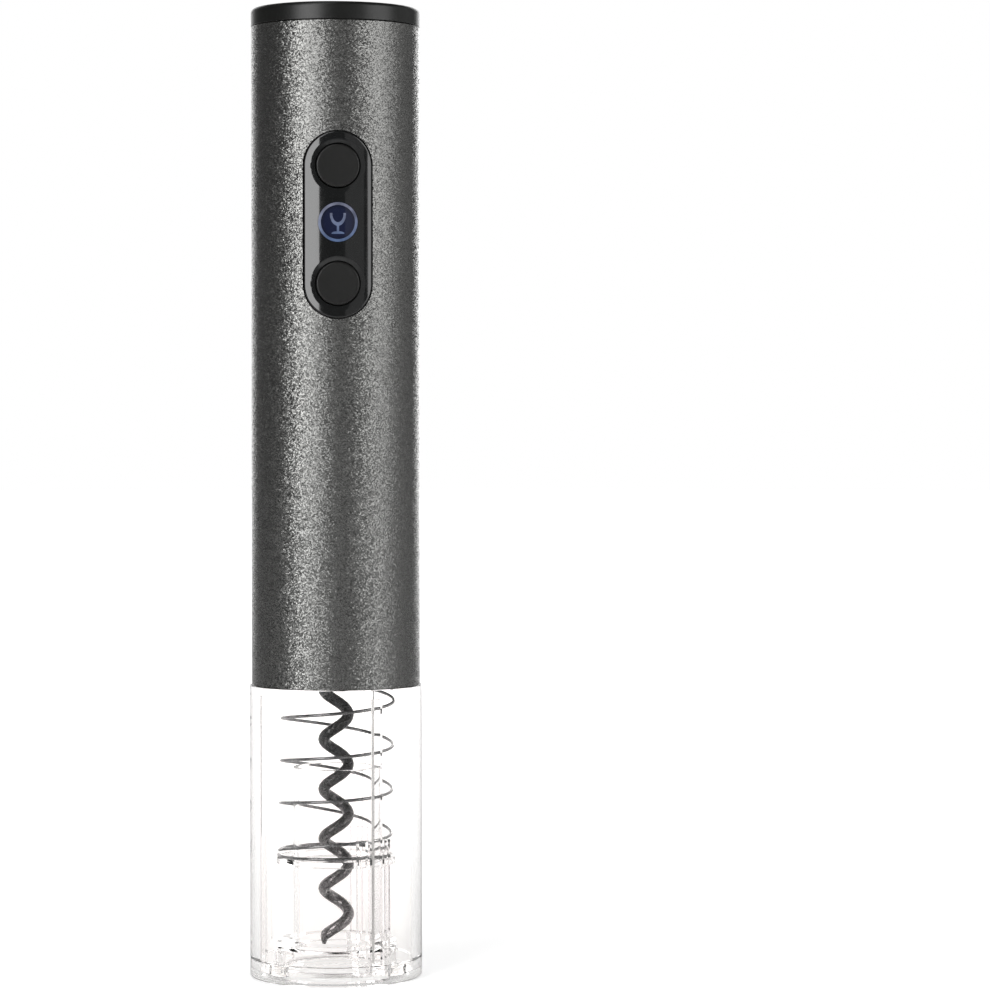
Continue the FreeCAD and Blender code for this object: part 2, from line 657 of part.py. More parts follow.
# ---- chassis ---------------------------------------------------------------------------------------
def chassis_ribs():
    """Full discs before they are split between the two halves: low, high and what each one clears."""
    cells = [rod(CELL_RADIUS + 0.15, 150, 280, x, CELL_Y) for x in (-CELL_X, CELL_X)]
    board_room = block((-13, 13), (-24, -12), (184, 243))
    plain = [(100.0, 102.0, GEARBOX_RADIUS + 0.1), (119.6, 121.4, MOTOR_RADIUS + 0.1),
             (149.0, 151.0, MOTOR_RADIUS + 0.1)]
    ribs = [ring(CHASSIS_BORE + 0.5, bore, low, high) for low, high, bore in plain]
    floor = rod(CHASSIS_BORE + 0.5, BATTERY_FLOOR, BATTERY_FLOOR_TOP)
    floor = floor.cut(block((-7, 7), (-11.5, -7.5), (158, 162)))
    ribs.append(floor)
    for low in (186.0, 212.0, 238.0, 260.0):
        disc = rod(CHASSIS_BORE + 0.5, low, low + 2).cut(group(cells))
        front_room = block((-12, 12), (-20, -4.2), (low - 1, low + 3))
        ribs.append(disc.cut(front_room).cut(board_room))
    return ribs


def chassis_half(side):
    """side is -1 for the front half and +1 for the rear half."""
    shell = ring(CHASSIS_RADIUS, CHASSIS_BORE, NECK_TOP, CHASSIS_TOP)
    keep = block((-30, 30), (0.1, 30) if side > 0 else (-30, -0.1), (90, 270))
    pieces = [shape.common(keep) for shape in [shell] + chassis_ribs()]
    for x in (-CHASSIS_SCREW_X, CHASSIS_SCREW_X):
        for height in CHASSIS_SCREW_HEIGHTS:
            ends = (0.1, 7.0) if side > 0 else (-7.0, -0.1)
            pieces.append(pin_along_y(2.7, ends[0], ends[1], x, height).common(rod(22.0, 90, 270)))
    body = joined(pieces)
    for x in (-CHASSIS_SCREW_X, CHASSIS_SCREW_X):
        for height in CHASSIS_SCREW_HEIGHTS:
            if side > 0:
                body = body.cut(pin_along_y(1.3, -1, 9, x, height)).cut(pin_along_y(2.5, 7.0, 24, x, height))
            else:
                body = body.cut(pin_along_y(1.0, -5.4, 1, x, height))
    return body


def chassis_front():
    window = stadium(PANEL_WIDTH + 5.5, PANEL_HEIGHT + 5.5, -26, -12)
    return chassis_half(-1).cut(window)


def chassis_rear():
    return chassis_half(1)


def chassis_screw_solids():
    screw = pan_screw(2.2, 1.5, 1.0, 12.0)
    screws = []
    for x in (-CHASSIS_SCREW_X, CHASSIS_SCREW_X):
        for height in CHASSIS_SCREW_HEIGHTS:
            screws.append(placed(screw, V(x, 7.0, height), FRONT))
    return screws


# ---- circuit board ---------------------------------------------------------------------------------
def circuit_board():
    half = PANEL_HEIGHT / 2 + 1
    back = BOARD_FRONT + BOARD_THICKNESS
    board = block((-8.5, 8.5), (BOARD_FRONT, back), (PANEL_MIDDLE - half, PANEL_MIDDLE + half))
    uprights = [edge for edge in board.Edges if edge.BoundBox.YLength > 1]
    board = board.makeFillet(1.5, uprights)
    for height in BOARD_SCREW_HEIGHTS:
        board = board.cut(pin_along_y(1.1, -20, -10, 0, height))
    return board


def tact_switch_solids():
    switches = []
    for height in BUTTON_HEIGHTS:
        body = block((-3, 3), (SWITCH_FACE, BOARD_FRONT), (height - 3, height + 3))
        well = pin_along_y(1.85, SWITCH_FACE - 1, SWITCH_FACE + 2.4, 0, height)
        switches.append(body.cut(well))
    return switches


def board_component_solids():
    """Two lamps behind the lens on the front; driver, capacitor and coil on the back."""
    back = BOARD_FRONT + BOARD_THICKNESS
    lamp_levels = (LENS_HEIGHT - 1.75, LENS_HEIGHT + 1.75)
    lamps = [block((x - 1.4, x + 1.4), (BOARD_FRONT - 1.9, BOARD_FRONT), lamp_levels) for x in (-2.4, 2.4)]
    driver = block((-3.2, 3.2), (back, back + 1.5), (220, 225))
    regulator = block((-2, 2), (back, back + 1.2), (205, 209))
    capacitor = pin_along_y(3.0, back, back + 5.5, -4, 213)
    return lamps + [driver, regulator, capacitor]


def board_screw_solids():
    screw = pan_screw(1.6, 1.2, 0.9, 5.0)
    back = BOARD_FRONT + BOARD_THICKNESS
    return [placed(screw, V(0, back, height), FRONT) for height in BOARD_SCREW_HEIGHTS]


def motor_lead_solids():
    solder = BOARD_FRONT + BOARD_THICKNESS
    return [lead(0.6, [V(x, -9.5, ENDCAP_TOP), V(x, -9.5, 200.5), V(x, solder, 200.5)], 3.0)
            for x in (-4.5, 4.5)]


def battery_lead_solids():
    solder = BOARD_FRONT + BOARD_THICKNESS
    foot = BATTERY_FLOOR_TOP + 0.4
    return [lead(0.6, [V(x, -5.0, foot), V(x, -5.0, 195.5), V(x, solder, 195.5)], 3.0)
            for x in (-CELL_X, CELL_X)]


# ---- every node --------------------------------------------------------------------------------------
def all_nodes():
    worm_shape = worm()
    nodes = {
        "outer_tube": outer_tube(),
        "control_panel": control_panel(),
        "light_lens": light_lens(),
        "circuit_board": circuit_board(),
        "tact_switches": group(tact_switch_solids()),
        "board_components": group(board_component_solids()),
        "board_screws": group(board_screw_solids()),
        "chassis_front": chassis_front(),
        "chassis_rear": chassis_rear(),
        "chassis_screws": group(chassis_screw_solids()),
        "lower_contacts": group(lower_contact_solids()),
        "motor_can": motor_can(),
        "motor_endcap": motor_endcap(),
        "motor_magnets": group(motor_magnet_solids()),
        "motor_brushes": group(motor_brush_solids()),
        "motor_bushes": group(motor_bush_solids()),
        "motor_mount_plate": motor_mount_plate(),
        "motor_screws": group(motor_screw_solids()),
        "ring_gear": ring_gear(),
        "nose_plate": nose_plate(),
        "gearbox_screws": group(gearbox_screw_solids()),
        "output_bush": output_bush(),
        "neck_ring": neck_ring(),
        "sleeve_screws": group(sleeve_screw_solids()),
        "clear_sleeve": clear_sleeve(),
        "base_ring": base_ring(),
        "motor_leads": group(motor_lead_solids()),
        "battery_leads": group(battery_lead_solids()),
        "motor_shaft": motor_shaft(),
        "armature_core": armature_core(),
        "armature_windings": armature_windings(),
        "commutator": commutator(),
        "motor_pinion": motor_pinion(),
        "first_carrier": first_carrier(),
        "first_carrier_pins": group(first_carrier_pin_solids()),
        "second_carrier": second_carrier(),
        "second_carrier_pins": group(second_carrier_pin_solids()),
        "worm_hub": worm_hub(worm_shape),
        "hub_set_screw": hub_set_screw(),
        "worm": worm_shape,
        "cork_carriage": cork_carriage(),
        "return_spring": return_spring(),
        "top_cap": top_cap(),
        "cap_seal": cap_seal(),
        "upper_contact": group(upper_contact_solids()),
    }
    columns = ((-CELL_X, True), (CELL_X, False))
    for column, (x, nub_up) in enumerate(columns):
        for level in (0, 1):
            nodes["aa_cell_%d" % (2 * column + level + 1)] = aa_cell(x, level, nub_up)
    for number, angle in enumerate(PLANET_ANGLES, start=1):
        nodes["first_planet_%d" % number] = planet_gear(*FIRST_STAGE, 1.05, angle)
        nodes["second_planet_%d" % number] = planet_gear(*SECOND_STAGE, 1.3, angle)
    for name, height in zip(("upper", "lower"), BUTTON_HEIGHTS):
        nodes["button_" + name] = push_button(height)
        nodes["plunger_" + name] = switch_plunger(height)
    return nodes


os.makedirs("parts", exist_ok=True)
for name, shape in all_nodes().items():
    shape.exportStep("parts/%s.step" % name)
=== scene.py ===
import math

import bmesh
import bpy
from mathutils import Matrix, Vector


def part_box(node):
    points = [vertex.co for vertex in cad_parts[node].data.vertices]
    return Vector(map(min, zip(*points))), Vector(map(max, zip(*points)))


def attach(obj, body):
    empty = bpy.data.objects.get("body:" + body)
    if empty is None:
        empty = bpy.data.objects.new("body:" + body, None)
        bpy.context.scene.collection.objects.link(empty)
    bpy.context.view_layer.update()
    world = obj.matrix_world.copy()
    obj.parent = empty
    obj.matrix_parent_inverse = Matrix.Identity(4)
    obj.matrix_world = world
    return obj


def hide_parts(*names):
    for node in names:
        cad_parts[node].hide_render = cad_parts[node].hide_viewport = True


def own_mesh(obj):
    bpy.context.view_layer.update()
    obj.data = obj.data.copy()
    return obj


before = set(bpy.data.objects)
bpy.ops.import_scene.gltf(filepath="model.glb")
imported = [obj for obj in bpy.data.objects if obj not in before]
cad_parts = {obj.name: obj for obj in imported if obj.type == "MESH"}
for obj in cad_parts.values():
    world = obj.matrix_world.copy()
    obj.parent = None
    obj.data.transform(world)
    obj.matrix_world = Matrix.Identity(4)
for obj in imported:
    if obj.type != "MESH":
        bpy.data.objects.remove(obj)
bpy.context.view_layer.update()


# ---- motor ------------------------------------------------------------------------------------------
# A brushed direct-current motor: a drawn and plated steel can with two ferrite magnets, a wound
# armature on a steel shaft, carbon brushes and sintered bronze bushes. It is screwed to its plate.
MM = 0.001
MIX_A, MIX_B, MIX_RESULT = 6, 7, 2  # the colour sockets of a Mix node


def linear(hex_text):
    """The linear colour of an sRGB hex value."""
    shares = [int(hex_text[place:place + 2], 16) / 255 for place in (1, 3, 5)]
    return tuple(s / 12.92 if s <= 0.04045 else ((s + 0.055) / 1.055) ** 2.4 for s in shares) + (1.0,)


def add_node(material, kind, inputs=None, **settings):
    """Adds one node with its settings, and sets or links its inputs."""
    made = material.node_tree.nodes.new(kind)
    for name, value in settings.items():
        setattr(made, name, value)
    for socket, value in (inputs or {}).items():
        if isinstance(value, bpy.types.NodeSocket):
            material.node_tree.links.new(value, made.inputs[socket])
        else:
            made.inputs[socket].default_value = value
    return made


def blank_material(name):
    made = bpy.data.materials.new(name)
    made.use_nodes = True
    made.node_tree.nodes.clear()
    return made


def grained(name, dark, light, grain, relief, gloss, stretch=(1, 1, 1), **shader):
    """A finish whose one grain varies its colour, gloss and height. Grain and relief are in
    millimetres, gloss is the lowest and highest roughness, and stretch lengthens the grain."""
    material = blank_material(name)
    place = add_node(material, "ShaderNodeTexCoord")
    drawn = add_node(material, "ShaderNodeMapping",
                     {"Vector": place.outputs["Object"], "Scale": [1 / length for length in stretch]})
    grains = add_node(material, "ShaderNodeTexNoise",
                      {"Vector": drawn.outputs[0], "Scale": 1 / (grain * MM), "Detail": 3.0})
    colour = add_node(material, "ShaderNodeMix",
                      {0: grains.outputs[0], MIX_A: linear(dark), MIX_B: linear(light)},
                      data_type="RGBA")
    rough = add_node(material, "ShaderNodeMapRange",
                     {"Value": grains.outputs[0], "From Min": 0.3, "From Max": 0.7,
                      "To Min": gloss[0], "To Max": gloss[1]})
    bump = add_node(material, "ShaderNodeBump",
                    {"Height": grains.outputs[0], "Distance": relief * MM, "Strength": 1.0})
    surface = add_node(material, "ShaderNodeBsdfPrincipled",
                       {"Base Color": colour.outputs[MIX_RESULT], "Roughness": rough.outputs[0],
                        "Normal": bump.outputs[0], **shader})
    add_node(material, "ShaderNodeOutputMaterial", {"Surface": surface.outputs[0]})
    return material


def finish_nodes(material, *names):
    """Gives carried-over nodes their finish."""
    for name in names:
        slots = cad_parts[name].material_slots
        for slot in slots:
            slot.material = material
        if not slots:
            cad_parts[name].data.materials.append(material)


# Nickel plated deep-drawn steel: bright, with faint drawing lines along the can.
plated_steel = grained("nickel_plated_drawn_steel", "#9C9B98", "#C6C5C1", 0.4, 0.004, (0.22, 0.36),
                       (1, 1, 12), Metallic=1.0)
# Zinc plated screw steel: a little blue, with fine pickling grain.
zinc_plate = grained("zinc_plated_steel", "#9FA3A8", "#C9CCCF", 0.25, 0.003, (0.25, 0.42), Metallic=1.0)
# Ground and sintered steel: grey, fine and slightly porous.
sintered_steel = grained("sintered_steel", "#6E6E6E", "#969592", 0.18, 0.008, (0.32, 0.5), Metallic=1.0)
# Sintered ferrite: dull, nearly black, with a gritty break.
ferrite = grained("sintered_ferrite", "#232426", "#37383A", 0.3, 0.012, (0.6, 0.8))
# Enamelled copper wire: warm, glossy under its varnish.
copper_wire = grained("enamelled_copper", "#8E4322", "#C26B3B", 0.35, 0.03, (0.22, 0.35),
                      (1, 1, 6), Metallic=0.9)
# Pressed carbon: matte black with a fine sparkle.
pressed_carbon = grained("pressed_carbon", "#141414", "#2A2A2B", 0.15, 0.01, (0.55, 0.75))
# Oil-filled sintered bronze: golden brown and slightly porous.
bronze = grained("sintered_bronze", "#7E5A2C", "#A97F45", 0.2, 0.008, (0.3, 0.5), Metallic=1.0)
# Glass-filled nylon: dark grey with the flow of short fibres.
filled_nylon = grained("glass_filled_nylon", "#232426", "#34363A", 0.7, 0.01, (0.42, 0.6), (1, 1, 3))
finish_nodes(plated_steel, "motor_can", "motor_mount_plate", "armature_core", "nose_plate")
finish_nodes(zinc_plate, "motor_screws")
finish_nodes(sintered_steel, "motor_shaft")
finish_nodes(ferrite, "motor_magnets")
finish_nodes(copper_wire, "armature_windings", "commutator")
finish_nodes(pressed_carbon, "motor_brushes")
finish_nodes(bronze, "motor_bushes", "motor_pinion")
finish_nodes(filled_nylon, "motor_endcap")


# ---- planetary gearbox ------------------------------------------------------------------------------
# Two planetary stages in one moulded ring gear: white acetal planets on the fast stage, sintered
# steel ones on the slow stage, each set on the pins of its carrier.
# Moulded acetal: white, waxy, and very slightly see-through.
white_acetal = grained("white_acetal", "#DCD9CE", "#EEECE4", 1.2, 0.004, (0.3, 0.42),
                       **{"Subsurface Weight": 0.15, "Subsurface Scale": 0.5 * MM})
finish_nodes(filled_nylon, "ring_gear")
finish_nodes(white_acetal, "first_planet_1", "first_planet_2", "first_planet_3")
finish_nodes(sintered_steel, "second_planet_1", "second_planet_2", "second_planet_3",
             "first_carrier", "second_carrier")
finish_nodes(zinc_plate, "first_carrier_pins", "second_carrier_pins", "gearbox_screws")
finish_nodes(bronze, "output_bush")


# ---- battery chassis, cells and board ---------------------------------------------------------------
# Two moulded half shells hold the motor, four round cells, their plated contacts, the leads and
# the small board behind the buttons. The shells are screwed together.
# Black nylon moulded against a lightly sparked tool.
black_nylon = grained("moulded_black_nylon", "#151516", "#202022", 0.5, 0.012, (0.4, 0.55))
# Nickel plated spring strip and wire.
plated_strip = grained("nickel_plated_strip", "#B5B2AA", "#D8D5CD", 0.4, 0.003, (0.15, 0.28),
                       (6, 1, 1), Metallic=1.0)
# The cells' shrunk plastic wrap over steel: glossy, slate grey, no print.
cell_wrap = grained("plain_cell_wrap", "#34404D", "#435161", 3.0, 0.01, (0.18, 0.3), Metallic=0.35)
# Solder mask over glass cloth: green with the weave just showing.
solder_mask = grained("green_solder_mask", "#0B3A20", "#125733", 0.5, 0.01, (0.25, 0.4))
# Moulded chip packages and switch bodies.
chip_black = grained("moulded_epoxy_black", "#161617", "#242425", 0.2, 0.006, (0.45, 0.6))
# Stranded leads in soft sheaths.
red_sheath = grained("red_pvc_sheath", "#7F110C", "#A01C14", 0.8, 0.01, (0.35, 0.5))
black_sheath = grained("black_pvc_sheath", "#101011", "#1C1C1D", 0.8, 0.01, (0.35, 0.5))
finish_nodes(black_nylon, "chassis_front", "chassis_rear")
finish_nodes(zinc_plate, "chassis_screws", "board_screws", "sleeve_screws", "hub_set_screw")
finish_nodes(plated_strip, "lower_contacts", "upper_contact")
finish_nodes(cell_wrap, "aa_cell_1", "aa_cell_2", "aa_cell_3", "aa_cell_4")
finish_nodes(solder_mask, "circuit_board")
finish_nodes(chip_black, "tact_switches", "board_components", "plunger_upper", "plunger_lower")
finish_nodes(red_sheath, "motor_leads")
finish_nodes(black_sheath, "battery_leads")


# ---- neck ring --------------------------------------------------------------------------------------
# The black moulded ring between gearbox and sleeve. Its groove seats the top of the return spring.
finish_nodes(black_nylon, "neck_ring")


# ---- worm -------------------------------------------------------------------------------------------
# The corkscrew: steel wire wound to a right-handed helix, ground to a point that turns straight
# down, and coated dark so that it slides through cork.
WORM_RADIUS = 3.5
WORM_WIRE = 1.62
WORM_PITCH = 14.25
WORM_START = math.radians(-140)
WORM_LEVEL = 17.8  # the height at which the helix passes +X
WORM_TIP = Vector((-3.45, -0.5, 8.3))
WORM_DARK_TO_LIGHT = (62, 12)  # the heights between which the coating goes from dark to lighter
POINT_STEPS = 18
TURN_STEPS = 48


def wire_piece(name, path, wire, round_steps, material):
    """A wire swept along a path of (point, share of its full thickness), in millimetres."""
    curve = bpy.data.curves.new(name, "CURVE")
    curve.dimensions = "3D"
    curve.bevel_depth = wire * MM
    curve.bevel_resolution = round_steps
    curve.use_fill_caps = True
    spline = curve.splines.new("POLY")
    spline.points.add(len(path) - 1)
    for place, (point, share) in zip(spline.points, path):
        place.co = (*(point * MM), 1)
        place.radius = share
    swept = bpy.data.objects.new(name + "_line", curve)
    bpy.context.collection.objects.link(swept)
    bpy.context.view_layer.update()
    data = bpy.data.meshes.new_from_object(swept.evaluated_get(bpy.context.evaluated_depsgraph_get()))
    bpy.data.objects.remove(swept)
    data.name = name
    closed = bmesh.new()
    closed.from_mesh(data)
    bmesh.ops.remove_doubles(closed, verts=closed.verts, dist=0.0005 * MM)
    bmesh.ops.recalc_face_normals(closed, faces=closed.faces)
    closed.to_mesh(data)
    closed.free()
    data.materials.clear()
    data.materials.append(material)
    data.shade_smooth()
    made = bpy.data.objects.new(name, data)
    bpy.context.collection.objects.link(made)
    return made


def on_helix(radius, angle, height):
    return Vector((radius * math.cos(angle), radius * math.sin(angle), height))


def curve_point(corners, share):
    """The point on a cubic Bezier curve."""
    a, b, c, d = corners
    rest = 1 - share
    return a * rest ** 3 + 3 * b * rest ** 2 * share + 3 * c * rest * share ** 2 + d * share ** 3


worm_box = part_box("worm")
worm_start = on_helix(WORM_RADIUS, WORM_START, WORM_LEVEL + WORM_START / math.tau * WORM_PITCH)
slope = math.atan2(WORM_PITCH, math.tau * WORM_RADIUS)
downhill = Vector((math.sin(WORM_START) * math.cos(slope), -math.cos(WORM_START) * math.cos(slope),
                   -math.sin(slope)))
point_curve = (worm_start, worm_start + downhill * 1.6, WORM_TIP + Vector((0, 0, 2.2)), WORM_TIP)
worm_path = []
for step in range(POINT_STEPS, 0, -1):
    share = step / POINT_STEPS
    worm_path.append((curve_point(point_curve, share), (1 - share) ** 0.62 + 0.05 * share))
worm_top = worm_box[1].z / MM - 0.4
turn = WORM_START
while WORM_LEVEL + turn / math.tau * WORM_PITCH < worm_top:
    worm_path.append((on_helix(WORM_RADIUS, turn, WORM_LEVEL + turn / math.tau * WORM_PITCH), 1.0))
    turn += math.tau / TURN_STEPS
# Low-friction coating over ground steel: satin and nearly black at the top, and lighter towards the point.
coated_steel = blank_material("coated_ground_steel")
steel_place = add_node(coated_steel, "ShaderNodeTexCoord")
steel_grain = add_node(coated_steel, "ShaderNodeTexNoise",
                       {"Vector": steel_place.outputs["Object"], "Scale": 1 / (0.7 * MM), "Detail": 3.0})
steel_level = add_node(coated_steel, "ShaderNodeSeparateXYZ", {0: steel_place.outputs["Object"]})
# The colour goes by height alone, from dark at the top to lighter towards the point.
steel_lightening = add_node(coated_steel, "ShaderNodeMapRange",
                      {"Value": steel_level.outputs["Z"], "From Min": WORM_DARK_TO_LIGHT[0] * MM,
                       "From Max": WORM_DARK_TO_LIGHT[1] * MM})
steel_height_colour = add_node(coated_steel, "ShaderNodeMix",
                       {0: steel_lightening.outputs[0], MIX_A: linear("#1A191A"), MIX_B: linear("#8E8B8C")},
                       data_type="RGBA")
steel_gloss = add_node(coated_steel, "ShaderNodeMapRange",
                       {"Value": steel_grain.outputs[0], "From Min": 0.3, "From Max": 0.7,
                        "To Min": 0.18, "To Max": 0.34})
steel_bump = add_node(coated_steel, "ShaderNodeBump",
                      {"Height": steel_grain.outputs[0], "Distance": 0.02 * MM, "Strength": 1.0})
steel_surface = add_node(coated_steel, "ShaderNodeBsdfPrincipled",
                         {"Base Color": steel_height_colour.outputs[MIX_RESULT], "Metallic": 0.7,
                          "Roughness": steel_gloss.outputs[0], "Normal": steel_bump.outputs[0]})
add_node(coated_steel, "ShaderNodeOutputMaterial", {"Surface": steel_surface.outputs[0]})
worm = wire_piece("corkscrew_worm", worm_path, WORM_WIRE, 7, coated_steel)
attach(worm, "worm_drive")
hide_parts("worm")


# ---- worm hub ---------------------------------------------------------------------------------------
# The black collar moulded round the worm's top turn. A set screw locks it on the output shaft.
finish_nodes(black_nylon, "worm_hub")


# ---- return spring ----------------------------------------------------------------------------------
# A compression spring of drawn stainless wire with a closed bottom turn. It stands on the
# carriage's seat, leans a little as such a long soft spring does, and ends in the neck ring.
SPRING_RADIUS = 15.95
SPRING_WIRE = 0.45
SPRING_LOW = 34.77
SPRING_HIGH = 85.53
SPRING_TURNS = 5.0
CLOSED_RISE = 1.2
SPRING_LEAN = (-0.55, 0.75)
SPRING_TILT = (1.7, 0.3)
SPRING_STEPS = 44


def spring_point(turns):
    """One point of the spring's wire: the first turn is closed, and the others share the rise."""
    if turns < 1:
        height = SPRING_LOW + CLOSED_RISE * turns
    else:
        rise = SPRING_HIGH - SPRING_LOW - CLOSED_RISE
        height = SPRING_LOW + CLOSED_RISE + rise * (turns - 1) / (SPRING_TURNS - 1)
    share = turns / SPRING_TURNS
    angle = math.pi + math.tau * turns
    point = on_helix(SPRING_RADIUS, angle, height)
    free = min(1, max(0, (turns - 1) / 0.5)) * min(1, (SPRING_TURNS - turns) / 0.5)
    tilt = SPRING_TILT[0] + (SPRING_TILT[1] - SPRING_TILT[0]) * share
    point.x += SPRING_LEAN[0] + (SPRING_LEAN[1] - SPRING_LEAN[0]) * share
    point.z -= tilt * free * math.cos(angle)
    return point


spring_path = [(spring_point(step / SPRING_STEPS), 1.0)
               for step in range(int(SPRING_TURNS * SPRING_STEPS) + 1)]
# Cold-drawn stainless wire: bright, with fine die lines along it.
drawn_steel = grained("drawn_stainless_wire", "#5E5E5F", "#9A9A9B", 0.3, 0.003, (0.16, 0.3),
                      (4, 4, 1), Metallic=1.0)
spring = wire_piece("return_spring_wire", spring_path, SPRING_WIRE, 4, drawn_steel)
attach(spring, "housing")
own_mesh(spring)
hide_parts("return_spring")


# ---- cork carriage ----------------------------------------------------------------------------------
# The clear injection-moulded guide inside the sleeve: a bell that centres on the bottle, a seat,
# the cork tube, the spring seat, and three shoes that straddle the sleeve's rails.
RAIL_ANGLES = [math.radians(degrees) for degrees in (-60, 60, 180)]
ROUND_STEPS = 160


def lathe(outline, steps=ROUND_STEPS, closed=True):
    """Turns an outline of (radius, height) points, in millimetres, round the Z axis."""
    mesh = bmesh.new()
    points = [mesh.verts.new((radius * MM, 0, height * MM)) for radius, height in outline]
    ends = points[1:] + points[:1] if closed else points[1:]
    lines = [mesh.edges.new(pair) for pair in zip(points, ends)]
    bmesh.ops.spin(mesh, geom=points + lines, cent=(0, 0, 0), axis=(0, 0, 1), dvec=(0, 0, 0),
                   angle=math.tau, steps=steps, use_merge=True, use_duplicate=False)
    bmesh.ops.remove_doubles(mesh, verts=mesh.verts, dist=0.001 * MM)
    bmesh.ops.recalc_face_normals(mesh, faces=mesh.faces)
    return mesh


def soften(mesh, width, segments=2, crease=40):
    """Rounds every edge that is sharper than the crease angle."""
    sharp = [edge for edge in mesh.edges if edge.calc_face_angle(0) > math.radians(crease)]
    bmesh.ops.bevel(mesh, geom=sharp, offset=width * MM, offset_type="OFFSET", segments=segments,
                    profile=0.5, affect="EDGES", clamp_overlap=True, material=-1)
    return mesh


def block(x, y, z, turn=0.0):
    """A block between pairs of limits in millimetres, turned round the Z axis."""
    mesh = bmesh.new()
    bmesh.ops.create_cube(mesh, size=1)
    size = [(high - low) * MM for low, high in (x, y, z)]
    middle = Vector([(high + low) / 2 * MM for low, high in (x, y, z)])
    bmesh.ops.scale(mesh, vec=size, verts=mesh.verts)
    bmesh.ops.translate(mesh, vec=middle, verts=mesh.verts)
    bmesh.ops.rotate(mesh, cent=(0, 0, 0), matrix=Matrix.Rotation(turn, 3, "Z"), verts=mesh.verts)
    return mesh


def piece(mesh, name, material):
    """Makes a mesh the object of one piece."""
    data = bpy.data.meshes.new(name)
    mesh.to_mesh(data)
    mesh.free()
    data.materials.append(material)
    made = bpy.data.objects.new(name, data)
    bpy.context.collection.objects.link(made)
    return made


def combine(base, tools, operation):
    """Adds solids to a piece, or cuts them from it, and keeps the result as its mesh."""
    for tool in tools:
        other = piece(tool, "tool", base.data.materials[0])
        change = base.modifiers.new(operation, "BOOLEAN")
        change.operation = operation
        change.solver = "EXACT"
        change.object = other
        bpy.context.view_layer.update()
        done = bpy.data.meshes.new_from_object(base.evaluated_get(bpy.context.evaluated_depsgraph_get()))
        base.modifiers.clear()
        old, base.data = base.data, done
        done.name = base.name
        bpy.data.meshes.remove(old)
        bpy.data.meshes.remove(other.data)
    return base


def shade_turned(made, crease=38):
    """Smooth shading in which walls round the Z axis take their true radial direction, so that
    windows and slots cut in them leave no ripples."""
    data = made.data
    data.shade_smooth()
    data.set_sharp_from_angle(angle=math.radians(crease))
    normals = [corner.vector.copy() for corner in data.corner_normals]
    for face in data.polygons:
        outward = Vector((face.center.x, face.center.y, 0))
        side = face.normal.dot(outward.normalized())
        corners = [data.vertices[place].co.xy.length for place in face.vertices]
        if abs(side) > 0.9994 and outward.length > 0.999 * max(corners):
            for corner in face.loop_indices:
                place = data.vertices[data.loops[corner].vertex_index].co
                normals[corner] = Vector((*place.xy, 0)).normalized() * math.copysign(1, side)
    data.normals_split_custom_set(normals)
    return made


def clear_plastic(name, facing, edge, gloss, waves, index):
    """Clear polished moulding: colourless face on, with grey shade painted in where the eye runs along a
    wall, in place of the dark lines that refraction draws there.
    """
    material = blank_material(name)
    place = add_node(material, "ShaderNodeTexCoord")
    flow = add_node(material, "ShaderNodeTexNoise",
                    {"Vector": place.outputs["Object"], "Scale": 1 / (9 * MM), "Detail": 1.0})
    bump = add_node(material, "ShaderNodeBump",
                    {"Height": flow.outputs[0], "Distance": waves * MM, "Strength": 1.0})
    # Painted shade: the colour turns grey at grazing angles to draw the dark edge lines of walls and
    # rails.
    grazing = add_node(material, "ShaderNodeLayerWeight", {"Blend": 0.5})
    edge_shade_share = add_node(material, "ShaderNodeMath", {0: grazing.outputs["Facing"], 1: 3.0}, operation="POWER")
    colour = add_node(material, "ShaderNodeMix",
                      {0: edge_shade_share.outputs[0], MIX_A: linear(facing), MIX_B: linear(edge)},
                      data_type="RGBA")
    surface = add_node(material, "ShaderNodeBsdfPrincipled",
                       {"Base Color": colour.outputs[MIX_RESULT], "Roughness": gloss, "IOR": index,
                        "Transmission Weight": 1.0, "Normal": bump.outputs[0]})
    add_node(material, "ShaderNodeOutputMaterial", {"Surface": surface.outputs[0]})
    return material


carriage_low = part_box("cork_carriage")[0].z / MM
cork_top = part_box("cork_carriage")[1].z / MM
CORK_TUBE = (12.25, 10.75)
SEAT_RADIUS = 17.2
BELL_BORE = 15.3
SEAT_LEVELS = (8.2, 10.4)
SPRING_SEAT_RADIUS = 17.0
SPRING_SEAT_LEVELS = (32.4, 34.3)
SHOE_TOP = 40.5
SHOE_PLATE = (18.4, 19.9)
SHOE_HALF = 5
WEB = (16.4, 18.5)
CHEEK = (19.8, 21.3)
CHEEK_SIDE = (1.7, 2.9)
CLEAR_STEP = 0.05  # keeps joined blocks from sharing a face
# Clear styrene-acrylonitrile, polished in the mould. Its index is set low, because walls this thin
# hardly bend what is seen through them, and only their edges show.
carriage_plastic = clear_plastic("clear_moulded_carriage", "#FEFDFD", "#F4F2F2", 0.02, 0.004, 1.16)
carriage_outline = [
    (BELL_BORE, carriage_low), (SEAT_RADIUS, carriage_low), (SEAT_RADIUS, SEAT_LEVELS[1]),
    (CORK_TUBE[0], SEAT_LEVELS[1]), (CORK_TUBE[0], SPRING_SEAT_LEVELS[0]),
    (SPRING_SEAT_RADIUS, SPRING_SEAT_LEVELS[0]), (SPRING_SEAT_RADIUS, SPRING_SEAT_LEVELS[1]),
    (CORK_TUBE[0], SPRING_SEAT_LEVELS[1]), (CORK_TUBE[0], cork_top), (CORK_TUBE[1], cork_top),
    (CORK_TUBE[1], SEAT_LEVELS[0]), (BELL_BORE, SEAT_LEVELS[0]),
]
carriage = piece(soften(lathe(carriage_outline), 0.25), "cork_carriage_guide", carriage_plastic)
web_levels = (carriage_low + CLEAR_STEP, SEAT_LEVELS[1] - CLEAR_STEP)
cheek_levels = (carriage_low + CLEAR_STEP, SHOE_TOP - CLEAR_STEP)
